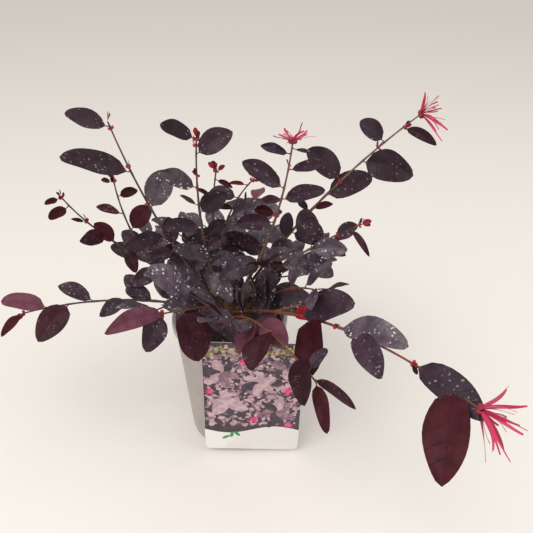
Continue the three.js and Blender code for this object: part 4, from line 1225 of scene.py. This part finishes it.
def polypropylene():
    """Moulded grey polypropylene with recycled content: an even warm grey with faint flow clouds and a
    soft gloss."""
    material, tree, shader = start_material("polypropylene_grey", Roughness=0.42, IOR=1.49)
    tree.links.new(soft_patches(tree, "#aaa19d", "#9f9793", size=28), shader.inputs["Base Color"])
    rough_surface(tree, shader, size=0.8, strength=0.12, depth=0.2)
    return material


def peat(name, first, second):
    """Damp peat and bark fines: nearly black brown and crumbly."""
    material, tree, shader = start_material(name, Roughness=0.95)
    tree.links.new(soft_patches(tree, first, second, size=3), shader.inputs["Base Color"])
    rough_surface(tree, shader, size=1.5, strength=0.9, depth=0.8)
    return material


def card_stock(name, first, second, size):
    """Laminated card: ink under a thin clear film, smooth with a satin gloss."""
    material, tree, shader = start_material(name, Roughness=0.35, IOR=1.5)
    ink = soft_patches(tree, first, second, size, low=0.45, high=0.55)
    tree.links.new(ink, shader.inputs["Base Color"])
    return material


# Pot, soil and card

def lathe(profile, steps):
    """A closed shell spun from a profile of radii and heights in millimetres."""
    mesh = bmesh.new()
    verts = [mesh.verts.new((radius * MM, 0, z * MM)) for radius, z in profile]
    edges = [mesh.edges.new(pair) for pair in zip(verts, verts[1:])]
    bmesh.ops.spin(
        mesh, geom=verts + edges, cent=(0, 0, 0), axis=(0, 0, 1), angle=2 * math.pi, steps=steps,
        use_merge=True,
    )
    bmesh.ops.remove_doubles(mesh, verts=mesh.verts, dist=1e-6)
    bmesh.ops.recalc_face_normals(mesh, faces=mesh.faces)
    return mesh


def quarter(centre, radius, start, steps=5):
    """Points of a quarter turn round a centre, anticlockwise from an angle in degrees."""
    angles = [math.radians(start + 90 * k / steps) for k in range(steps + 1)]
    return [(centre[0] + radius * math.cos(a), centre[1] + radius * math.sin(a)) for a in angles]


def make_pot():
    """The moulded shell with its rolled rim, and the drain holes drilled through its floor."""
    rim_foot = POT_HEIGHT - RIM_HEIGHT
    outside = POT_TOP_RADIUS + RIM_OUT
    inner_top = POT_TOP_RADIUS - POT_WALL
    profile = [(0, 0)]
    profile += quarter((POT_FOOT_RADIUS - FOOT_ROUNDING, FOOT_ROUNDING), FOOT_ROUNDING, -90)
    profile += [(pot_radius(z), z) for z in [*WALL_RINGS, rim_foot]]
    profile += quarter((outside - RIM_ROUNDING, rim_foot + RIM_ROUNDING), RIM_ROUNDING, -90)
    profile += quarter((outside - RIM_ROUNDING, POT_HEIGHT - RIM_ROUNDING), RIM_ROUNDING, 0)
    profile += quarter((inner_top + RIM_ROUNDING, POT_HEIGHT - RIM_ROUNDING), RIM_ROUNDING, 90)
    profile += [(pot_radius(z) - POT_WALL, z) for z in [*reversed(WALL_RINGS), POT_FLOOR]]
    profile += [(0, POT_FLOOR)]
    data = mesh_of("pot_shell", lathe(profile, POT_STEPS))
    piece = finished("pot_shell", data, [polypropylene()], ["pot"], sharp_above=35)
    drill = bmesh.new()
    for hole in range(DRAIN_HOLES):
        angle = 2 * math.pi * (hole + 0.5) / DRAIN_HOLES
        place = Matrix.Translation(
            (DRAIN_CIRCLE * math.cos(angle) * MM, DRAIN_CIRCLE * math.sin(angle) * MM, 0)
        )
        bmesh.ops.create_cone(
            drill, cap_ends=True, segments=DRAIN_SIDES, radius1=DRAIN_RADIUS * MM,
            radius2=DRAIN_RADIUS * MM, depth=DRILL_LENGTH * MM, matrix=place,
        )
    cutter = bpy.data.objects.new("drain_drill", mesh_of("drain_drill", drill))
    bpy.context.scene.collection.objects.link(cutter)
    cut = piece.modifiers.new("drain_holes", "BOOLEAN")
    cut.operation = "DIFFERENCE"
    cut.solver = "EXACT"
    cut.object = cutter
    graph = bpy.context.evaluated_depsgraph_get()
    holed = bpy.data.meshes.new_from_object(piece.evaluated_get(graph))
    piece.modifiers.clear()
    piece.data = holed
    bpy.data.objects.remove(cutter)
    return piece


# The bed of peat: its rings and sides, the lumps in its top as (lumps per metre, share of the roughness),
# and how far the rough top sits under the smooth one and keeps off the pot's wall, in millimetres
SOIL_SEED = 5
SOIL_RINGS = 16
SOIL_SIDES = 72
SOIL_LUMPS = [(160, 0.6), (420, 0.4)]
SOIL_SUNK = 0.35
SOIL_BORDER = 1
# Loose crumbs: their size, their breadth and thickness as shares of it, how far they are pressed in and
# keep off the wall and the card's hook, and the draws above which one is brown or a grain of feed
CRUMBS = 700
CRUMB_SIZE = {"least": 0.6, "spread": 1.9}
CRUMB_BREADTH = {"least": 0.6, "spread": 0.4}
CRUMB_THICKNESS = {"least": 0.45, "spread": 0.3}
CRUMB_SUNK = 0.4
CRUMB_BORDER = 3
HOOK_CLEARANCE = 2
BROWN_ABOVE = 0.55
FEED_ABOVE = 0.985


def soil_radius(z):
    """Radius of the filling at a height, just clear of the pot's wall."""
    return pot_radius(z) - POT_WALL - GAP


def soil_top(radius):
    """Height of the filling: level round the stem, then sloping down to its edge."""
    share = (radius - SOIL_LEVEL_RADIUS) / (soil_radius(SOIL_EDGE) - SOIL_LEVEL_RADIUS)
    return SOIL_LEVEL + (SOIL_EDGE - SOIL_LEVEL) * min(max(share, 0), 1)


def make_soil():
    """The filling, with a crumbly top and loose crumbs of peat and bark pressed into it."""
    inside = soil_radius(SOIL_EDGE)
    bottom = POT_FLOOR + GAP
    rings = [inside * k / SOIL_RINGS for k in range(SOIL_RINGS, -1, -1)]
    profile = [(0, bottom), (soil_radius(bottom), bottom)]
    profile += [(radius, soil_top(radius)) for radius in rings]
    mesh = lathe(profile, SOIL_SIDES)
    for vert in mesh.verts:
        radius = math.hypot(vert.co.x, vert.co.y) / MM
        if vert.co.z / MM > SOIL_EDGE - SOIL_BORDER and radius < inside - SOIL_BORDER:
            rough = sum(noise.noise(vert.co * often) * share for often, share in SOIL_LUMPS)
            vert.co.z += (rough - SOIL_SUNK) * MM
    draw = random_stream(SOIL_SEED)
    for _ in range(CRUMBS):
        radius = (inside - CRUMB_BORDER) * math.sqrt(draw())
        angle = 2 * math.pi * draw()
        size = CRUMB_SIZE["least"] + CRUMB_SIZE["spread"] * draw() ** 2
        x = radius * math.cos(angle)
        y = radius * math.sin(angle)
        if math.hypot(x - HOOK_X, y - HOOK_INNER_Y) < HOOK_WIDTH / 2 + HOOK_CLEARANCE:
            continue
        place = Vector((x, y, soil_top(radius) - CRUMB_SUNK)) * MM
        turn = Matrix.Rotation(math.pi * draw(), 4, "Z") @ Matrix.Rotation(math.pi * draw(), 4, "X")
        breadth = CRUMB_BREADTH["least"] + CRUMB_BREADTH["spread"] * draw()
        thickness = CRUMB_THICKNESS["least"] + CRUMB_THICKNESS["spread"] * draw()
        squash = Matrix.Diagonal((1, breadth, thickness, 1))
        made = bmesh.ops.create_icosphere(
            mesh, subdivisions=1, radius=size * MM, matrix=Matrix.Translation(place) @ turn @ squash
        )
        pick = draw()
        tint = 2 if pick > FEED_ABOVE else (1 if pick > BROWN_ABOVE else 0)
        for vert in made["verts"]:
            for face in vert.link_faces:
                face.material_index = tint
    data = mesh_of("soil_bed", mesh)
    materials = [
        peat("peat_dark", "#1d1512", "#2e221c"),
        peat("peat_brown", "#33251d", "#4a362a"),
        peat("slow_feed_grain", "#a8893a", "#8f7430"),
    ]
    return finished("soil_bed", data, materials, ["soil"], sharp_above=40)


def card_frame():
    """The card's own frame: X across it, Y up it and Z out of its printed side."""
    place = Matrix.Translation(Vector((CARD_CENTRE_X, CARD_FOOT["y"], CARD_FOOT["z"])) * MM)
    turn = Matrix.Rotation(math.radians(90 + CARD_LEAN), 4, "X")
    return place @ turn @ Matrix.Rotation(math.radians(-CARD_SKEW), 4, "Z")


def card_outline():
    half = CARD_WIDTH / 2 - CARD_CORNER
    top = CARD_HEIGHT - CARD_CORNER
    points = quarter((half, CARD_CORNER), CARD_CORNER, -90)
    points += quarter((half, top), CARD_CORNER, 0)
    points += quarter((-half, top), CARD_CORNER, 90)
    points += quarter((-half, CARD_CORNER), CARD_CORNER, 180)
    return points


def prism(mesh, outline, low, high, tint):
    """A closed flat plate of an outline in the card's own millimetres."""
    verts = [mesh.verts.new((x * MM, y * MM, low * MM)) for x, y in outline]
    face = mesh.faces.new(verts)
    made = bmesh.ops.extrude_face_region(mesh, geom=[face])
    raised = [v for v in made["geom"] if isinstance(v, bmesh.types.BMVert)]
    bmesh.ops.translate(mesh, verts=raised, vec=(0, 0, (high - low) * MM))
    around = {f for v in verts + raised for f in v.link_faces}
    for f in around:
        f.material_index = tint


def make_card():
    """The card's sheet, and its hook that runs over the pot's rim and down inside."""
    mesh = bmesh.new()
    prism(mesh, card_outline(), 0, CARD_THICKNESS, 0)
    bmesh.ops.transform(mesh, matrix=card_frame(), verts=mesh.verts)
    top = POT_HEIGHT + HOOK_OVER_RIM
    back_y = card_y(top) - CARD_THICKNESS / 2
    length = HOOK_INNER_Y - back_y
    over = Matrix.Translation(Vector((HOOK_X, back_y + length / 2, top)) * MM)
    over = over @ Matrix.Diagonal((HOOK_WIDTH * MM, length * MM, CARD_THICKNESS * MM, 1))
    bmesh.ops.create_cube(mesh, size=1, matrix=over)
    down_z = top + CARD_THICKNESS / 2 - HOOK_DEPTH / 2
    down = Matrix.Translation(Vector((HOOK_X, HOOK_INNER_Y - CARD_THICKNESS / 2, down_z)) * MM)
    down = down @ Matrix.Diagonal((HOOK_WIDTH * MM, CARD_THICKNESS * MM, HOOK_DEPTH * MM, 1))
    bmesh.ops.create_cube(mesh, size=1, matrix=down)
    bmesh.ops.recalc_face_normals(mesh, faces=mesh.faces)
    data = mesh_of("card_sheet", mesh)
    white = card_stock("laminated_card_white", "#eceae6", "#e4e1dc", size=60)
    return finished("card_sheet", data, [white], ["plant_card"], sharp_above=30)


# The card's print: a white foot with a wave above it, rosettes of ovals on a pebbled ground, small stars
# and a leafy band along the top. It is a plain pattern of its own. Places and sizes are in the card's own
# millimetres, heights over its face in thicknesses of the print
PRINT_SEED = 9
PRINT_THICKNESS = 0.05
PRINT_MARGIN = 0.15
WAVE = {"height": 30, "swell": 5, "points": 25}
BAND_HEIGHT = 13
OVAL_SIDES = 20
# Tints of the print, in the order of its materials
PLUM_GROUND = 0
PALE_MAUVE = 1
MAUVE = 2
DARK_PLUM = 3
LEAF_GOLD = 4
MAGENTA = 5
GREEN = 6
# Pebbles, scattered over the ground and the band, clear of its foot and sides
PEBBLES = 900
BAND_PEBBLES = 260
PEBBLE_SIZE = {"least": 2.2, "spread": 4.2}
PEBBLE_SHAPE = 0.7
PEBBLE_RISE = 1.2
PEBBLE_BORDER = 3
GROUND_TINTS = [PALE_MAUVE, MAUVE, PALE_MAUVE, DARK_PLUM, MAUVE, PALE_MAUVE]
BAND_TINTS = [LEAF_GOLD, LEAF_GOLD, DARK_PLUM, LEAF_GOLD, PALE_MAUVE]
# Rosettes and stars by the place of their centre and their reach
ROSETTES = [(-30, 108, 17), (6, 96, 18), (31, 116, 15), (-24, 66, 18), (24, 58, 17), (-37, 46, 12)]
ROSETTE_OVALS = 6
ROSETTE_SIZE = {"least": 0.8, "spread": 0.35}
ROSETTE_SHAPE = 0.55
ROSETTE_RISE = 2.4
ROSETTE_STEP = 0.12
ROSETTE_TINTS = [PALE_MAUVE, MAUVE, PALE_MAUVE, DARK_PLUM]
STARS = [(34, 86, 9), (-8, 124, 8), (-41, 84, 7), (2, 45, 8), (37, 37, 7)]
STAR_RAYS = 9
STAR_RAY = {"least": 0.55, "spread": 0.45}
STAR_NOTCH = 0.3
STAR_RISE = 3.6
# The sprig on the white foot: each leaf's place and angle
SPRIG = [(-30, 16, 30), (-21, 18, 80), (-12, 20, 130)]
SPRIG_LENGTH = 9
SPRIG_BREADTH = 3.6


def oval(centre, length, breadth, angle):
    """Points round an oval that starts at its centre's foot and runs out at an angle in degrees."""
    x_foot, y_foot = centre
    a = math.radians(angle)
    points = []
    for k in range(OVAL_SIDES):
        t = 2 * math.pi * k / OVAL_SIDES
        out = length / 2 + length / 2 * math.cos(t)
        aside = breadth / 2 * math.sin(t)
        x = x_foot + out * math.cos(a) - aside * math.sin(a)
        y = y_foot + out * math.sin(a) + aside * math.cos(a)
        points.append((x, y))
    return points


def star(centre, reach, draw):
    """Points round a ragged star with rays of uneven lengths."""
    points = []
    for k in range(2 * STAR_RAYS):
        t = math.pi * k / STAR_RAYS
        radius = reach * (STAR_NOTCH if k % 2 else STAR_RAY["least"] + STAR_RAY["spread"] * draw())
        points.append((centre[0] + radius * math.cos(t), centre[1] + radius * math.sin(t)))
    return points


def make_print():
    """The print, as thin plates on the card's face that are cut off at its sides."""
    half = CARD_WIDTH / 2 - PRINT_MARGIN
    top = CARD_HEIGHT - PRINT_MARGIN
    mesh = bmesh.new()
    face = CARD_THICKNESS
    layer = PRINT_THICKNESS
    places = np.linspace(-half, half, WAVE["points"])
    ground = [(x, WAVE["height"] + WAVE["swell"] * math.sin(x / half * math.pi)) for x in places]
    corner = CARD_CORNER - PRINT_MARGIN
    ground += quarter((half - corner, top - corner), corner, 0)
    ground += quarter((-half + corner, top - corner), corner, 90)
    prism(mesh, ground, face, face + layer, PLUM_GROUND)
    draw = random_stream(PRINT_SEED)
    ground_foot = WAVE["height"] + WAVE["swell"] + PEBBLE_BORDER
    band_foot = top - BAND_HEIGHT
    band_top = top - PEBBLE_SIZE["least"] - PEBBLE_SIZE["spread"]
    for k in range(PEBBLES + BAND_PEBBLES):
        low, high, tints = (ground_foot, band_foot, GROUND_TINTS)
        if k >= PEBBLES:
            low, high, tints = (band_foot, band_top, BAND_TINTS)
        x = (2 * draw() - 1) * (half - PEBBLE_BORDER)
        y = low + (high - low) * draw()
        size = PEBBLE_SIZE["least"] + PEBBLE_SIZE["spread"] * draw()
        tint = tints[int(len(tints) * draw())]
        level = face + layer * (PEBBLE_RISE + draw())
        prism(mesh, oval((x, y), size, size * PEBBLE_SHAPE, 360 * draw()), face, level, tint)
    for x, y, reach in ROSETTES:
        spin = 360 * draw()
        for k in range(ROSETTE_OVALS):
            size = reach * (ROSETTE_SIZE["least"] + ROSETTE_SIZE["spread"] * draw())
            tint = ROSETTE_TINTS[int(len(ROSETTE_TINTS) * draw())]
            level = face + layer * (ROSETTE_RISE + ROSETTE_STEP * k)
            outline = oval((x, y), size, size * ROSETTE_SHAPE, spin + 360 * k / ROSETTE_OVALS)
            prism(mesh, outline, face, level, tint)
    for x, y, reach in STARS:
        prism(mesh, star((x, y), reach, draw), face, face + layer * STAR_RISE, MAGENTA)
    for side in (-1, 1):
        edge = (side * half * MM, 0, 0)
        geometry = mesh.verts[:] + mesh.edges[:] + mesh.faces[:]
        bmesh.ops.bisect_plane(mesh, geom=geometry, plane_co=edge, plane_no=(side, 0, 0), clear_outer=True)
        open_edges = [e for e in mesh.edges if e.is_boundary]
        bmesh.ops.holes_fill(mesh, edges=open_edges)
    for x, y, angle in SPRIG:
        prism(mesh, oval((x, y), SPRIG_LENGTH, SPRIG_BREADTH, angle), face, face + layer, GREEN)
    bmesh.ops.transform(mesh, matrix=card_frame(), verts=mesh.verts)
    bmesh.ops.recalc_face_normals(mesh, faces=mesh.faces)
    data = mesh_of("card_print", mesh)
    materials = [
        card_stock("print_plum_ground", "#2c2029", "#4a3944", 2),
        card_stock("print_pale_mauve", "#c9aab1", "#b0919b", 6),
        card_stock("print_mauve", "#997785", "#7c5c6a", 6),
        card_stock("print_dark_plum", "#4b3a49", "#35283a", 6),
        card_stock("print_leaf_gold", "#b39a52", "#67703a", 3),
        card_stock("print_magenta", "#d9307a", "#e4568f", 4),
        card_stock("print_green", "#2f8a55", "#3a9a63", 5),
    ]
    return finished("card_print", data, materials, [], sharp_above=30)


# Stem and boughs: ridges come often round a limb and less often along it, relief is a share of the
# radius, and a bough's foot is sunk into the stem's bark inside a thicker collar
STEM_RINGS = 26
STEM_SIDES = 28
STEM_RIDGES = 3
STEM_RIDGES_ALONG = 0.12
STEM_RELIEF = 0.11
STEM_INSET = 0.2
BOUGH_SIDES = 12
BOUGH_RIDGES = 0.9
BARK_RELIEF = 0.07
BOUGH_SUNK = 1.2
BOUGH_COLLAR = 1.12
BOUGH_OVERLAP = 0.01


def limb_shell(mesh, centres, headings, sides, tint):
    """A closed skin over rings round a line, all of radius 1 mm. Gives each ring's vertices."""
    rings = []
    loops = []
    for centre, heading in zip(centres, headings):
        turn = Vector(heading).to_track_quat("Z", "X").to_matrix().to_4x4()
        place = Matrix.Translation(Vector(centre) * MM) @ turn
        made = bmesh.ops.create_circle(mesh, cap_ends=False, segments=sides, radius=MM, matrix=place)
        rings.append(made["verts"])
        loops.append(list({edge for vert in made["verts"] for edge in vert.link_edges}))
    faces = []
    for first, second in zip(loops, loops[1:]):
        faces += bmesh.ops.bridge_loops(mesh, edges=first + second)["faces"]
    for end in (loops[0], loops[-1]):
        faces += bmesh.ops.contextual_create(mesh, geom=end)["faces"]
    for face in faces:
        face.material_index = tint
    return rings


def make_limbs():
    """The stem with its flared foot and every bare bough, as one mesh with the bark's ridges in it."""
    mesh = bmesh.new()
    heights = np.linspace(0, STEM_HEIGHT, STEM_RINGS)
    centres = [stem_centre(height) for height in heights]
    rings = limb_shell(mesh, centres, [UP] * STEM_RINGS, STEM_SIDES, 0)
    for ring, height, centre in zip(rings, heights, centres):
        middle = Vector(centre) * MM
        for vert in ring:
            out = (vert.co - middle) / MM
            angle = math.atan2(out.y, out.x)
            place = Vector((out.x * STEM_RIDGES, out.y * STEM_RIDGES, height * STEM_RIDGES_ALONG))
            ridge = noise.noise(place)
            radius = stem_radius(height, angle) * (1 + STEM_RELIEF * ridge) - STEM_INSET
            vert.co = middle + out * radius * MM
    for cane in CANES:
        points = smooth_line(cane["line"], TWIG_SMOOTHING * 2)
        shares = np.linspace(0, 1, len(points))
        kept = shares <= cane["bare"] + BOUGH_OVERLAP
        start = unit(points[1] - points[0])
        path = np.vstack([points[:1] - start * BOUGH_SUNK, points[kept]])
        radii = twig_radii(shares, CANE_RADIUS, CANE_TIP_RADIUS, [])[kept]
        radii = np.append(radii[:1] * BOUGH_COLLAR, radii)
        tint = 1 + SHOOT_BARKS.get(cane["name"], BROWN_BARK)
        rings = limb_shell(mesh, path, np.gradient(path, axis=0), BOUGH_SIDES, tint)
        for ring, centre, radius in zip(rings, path, radii):
            middle = Vector(centre) * MM
            for vert in ring:
                out = (vert.co - middle) / MM
                ridge = noise.noise((Vector(centre) + out) * BOUGH_RIDGES)
                vert.co = middle + out * radius * (1 + BARK_RELIEF * ridge) * MM
    bmesh.ops.recalc_face_normals(mesh, faces=mesh.faces)
    data = mesh_of("bark_limbs", mesh)
    materials = [
        # The stem's two bark tones are darker than its real orange-brown: painted shade from the leaves over
        # it
        bark("stem_bark_painted_shade", "#54392c", "#6b4b39", 4),
        bark("bough_bark_orange", "#7d4b33", "#64392a", 5),
        bark("bough_bark_tan", "#745445", "#5e4339", 5),
        bark("bough_bark_brown", "#432f2b", "#543c36", 5),
    ]
    nodes = ["stem"] + ["bough_" + cane["name"] for cane in CANES]
    return finished("bark_limbs", data, materials, nodes, sharp_above=50)


FOLIAGE_SEED = 17


def make_foliage(crown, young):
    """Everything that grows outside the bare boughs: one joined mesh for each kind of growth."""
    twigs = Joined()
    leaves = Joined()
    small = Joined()
    buds = Joined()
    petals = Joined()
    cups = Joined()
    draw = random_stream(FOLIAGE_SEED)
    for cane in CANES:
        nodes = [row[0] for row in cane["leaves"]]
        tint = SHOOT_BARKS.get(cane["name"], BROWN_BARK)
        add_twig(twigs, cane["line"], CANE_RADIUS, CANE_TIP_RADIUS, nodes, tint, cane["bare"])
        for line in cane["twigs"]:
            add_twig(twigs, line, SIDE_SHOOT_RADIUS, CANE_TIP_RADIUS, SHOOT_NODES, tint)
        if "flower" in cane:
            add_flower(petals, cups, cane)
        for share in cane["buds"]:
            add_bud_cluster(buds, cane["line"], share, draw)
    for leaf in crown.leaves:
        add_blade(leaves, leaf, draw)
        add_stalk(twigs, leaf)
    for leaf in young:
        add_blade(small, leaf, draw)
    # Each skin's name and two tones, then its share of water marks, its roughness and its gloss
    skins = [
        leaf_skin("leaf_aubergine", "#2d1c27", "#3a2732", 0.25, 0.4, 0.2),
        leaf_skin("leaf_grey_aubergine", "#382b36", "#55464f", 1.0, 0.36, 0.45),
        leaf_skin("leaf_wine", "#3c1d26", "#2f161d", 0.1, 0.42, 0.12),
        leaf_skin("leaf_plum", "#653948", "#56303c", 0.0, 0.45, 0.15),
        leaf_skin("leaf_burgundy", "#331117", "#41171d", 0.0, 0.45, 0.1),
        leaf_skin("leaf_underside_old", "#331a22", "#3e222b", 0.0, 0.6, 0.15),
        leaf_skin("leaf_underside_young", "#461a24", "#3b151d", 0.0, 0.6, 0.15),
        leaf_skin("leaf_scarlet", "#8f1a28", "#74121d", 0.0, 0.4, 0.2),
    ]
    barks = [
        bark("shoot_bark_orange", "#7d4b35", "#653b2e", 6),
        bark("shoot_bark_tan", "#745445", "#5e4339", 6),
        bark("shoot_bark_brown", "#432f2b", "#543c36", 6),
        bark("stalk_bark_red", "#5e2f30", "#6e3a38", 6),
    ]
    nodes = ["foliage_" + cane["name"] for cane in CANES]
    leaves.piece("leaf_blades", skins, "leaves", nodes, sharp_above=70)
    small.piece("young_leaves", skins, "leaves", [], sharp_above=70)
    twigs.piece("leafy_twigs", barks, "bark", [])
    bud_skin = bark("bud_scales_red", "#8e1f2a", "#a8303a", size=3)
    buds.piece("red_buds", [bud_skin], "leaves", [])
    petal = petal_skin("petal_crimson", "#a20b34", "#cf2f62")
    petals.piece("strap_petals", [petal], None, [], sharp_above=50)
    cup_skin = bark("flower_cup_felt", "#7d2330", "#93303c", size=2)
    cups.piece("flower_cups", [cup_skin], None, [])


def add_bud_cluster(mesh, line, share, draw):
    """A few small buds round a point of a twig."""
    point, heading = along(line, share)
    across = unit(np.cross(heading, NEARLY_UP))
    for k in range(BUDS):
        out = spoke(heading, across, math.radians(k * GOLDEN_ANGLE + 360 * draw()))
        axis = unit(heading * BUD_SPLAY + out)
        length = BUD_LENGTH["least"] + BUD_LENGTH["spread"] * draw()
        add_bud(mesh, point + out * BUD_OUT, axis, length)


# Stage: places and sizes in metres, lamps in watts
FLOOR_RADIUS = 9
FLOOR_SIDES = 96
SKY_STRENGTH = 0.75
LAMPS = [
    dict(name="key_softbox", place=(-0.7, -0.9, 1.7), size=1.4, power=22),
    dict(name="fill_softbox", place=(1.2, -0.3, 1.2), size=1.2, power=6),
]
LAMPS_AIM = Vector((0, 0, 0.15))


def make_stage():
    """A pale floor under an even sky, two soft lamps, and the camera where the photo was taken."""
    mesh = bmesh.new()
    bmesh.ops.create_circle(mesh, cap_ends=True, segments=FLOOR_SIDES, radius=FLOOR_RADIUS)
    data = mesh_of("floor", mesh)
    floor = bpy.data.objects.new("floor", data)
    bpy.context.scene.collection.objects.link(floor)
    # Painted board: pale and matt, so that it takes soft shadows and gives no mirror image
    material, _, shader = start_material("painted_board_pale", Roughness=0.7)
    shader.inputs["Base Color"].default_value = linear("#e8e3dd")
    data.materials.append(material)

    world = bpy.data.worlds.new("studio")
    bpy.context.scene.world = world
    world.use_nodes = True
    sky = world.node_tree.nodes["Background"]
    sky.inputs["Color"].default_value = linear("#fbf8f4")
    sky.inputs["Strength"].default_value = SKY_STRENGTH

    for lamp in LAMPS:
        source = bpy.data.lights.new(lamp["name"], "AREA")
        source.size = lamp["size"]
        source.energy = lamp["power"]
        light = bpy.data.objects.new(lamp["name"], source)
        light.location = lamp["place"]
        aim = LAMPS_AIM - Vector(lamp["place"])
        light.rotation_euler = aim.to_track_quat("-Z", "Y").to_euler()
        bpy.context.scene.collection.objects.link(light)

    data = bpy.data.cameras.new("photo_camera")
    data.sensor_width = SENSOR
    data.lens = FOCAL_PIXELS * SENSOR / PHOTO_SIDE
    data.shift_x = PRINCIPAL_PIXELS_LEFT / PHOTO_SIDE
    camera = bpy.data.objects.new("photo_camera", data)
    camera.location = Vector(CAMERA_PLACE) * MM
    camera.rotation_euler = (math.radians(90 - CAMERA_PITCH), 0, 0)
    bpy.context.scene.collection.objects.link(camera)
    bpy.context.scene.camera = camera
    bpy.context.scene.view_settings.view_transform = "Standard"


make_stage()
grown = grow_crown()
make_foliage(grown, grow_young(grown))
make_limbs()
make_pot()
make_soil()
make_card()
make_print()
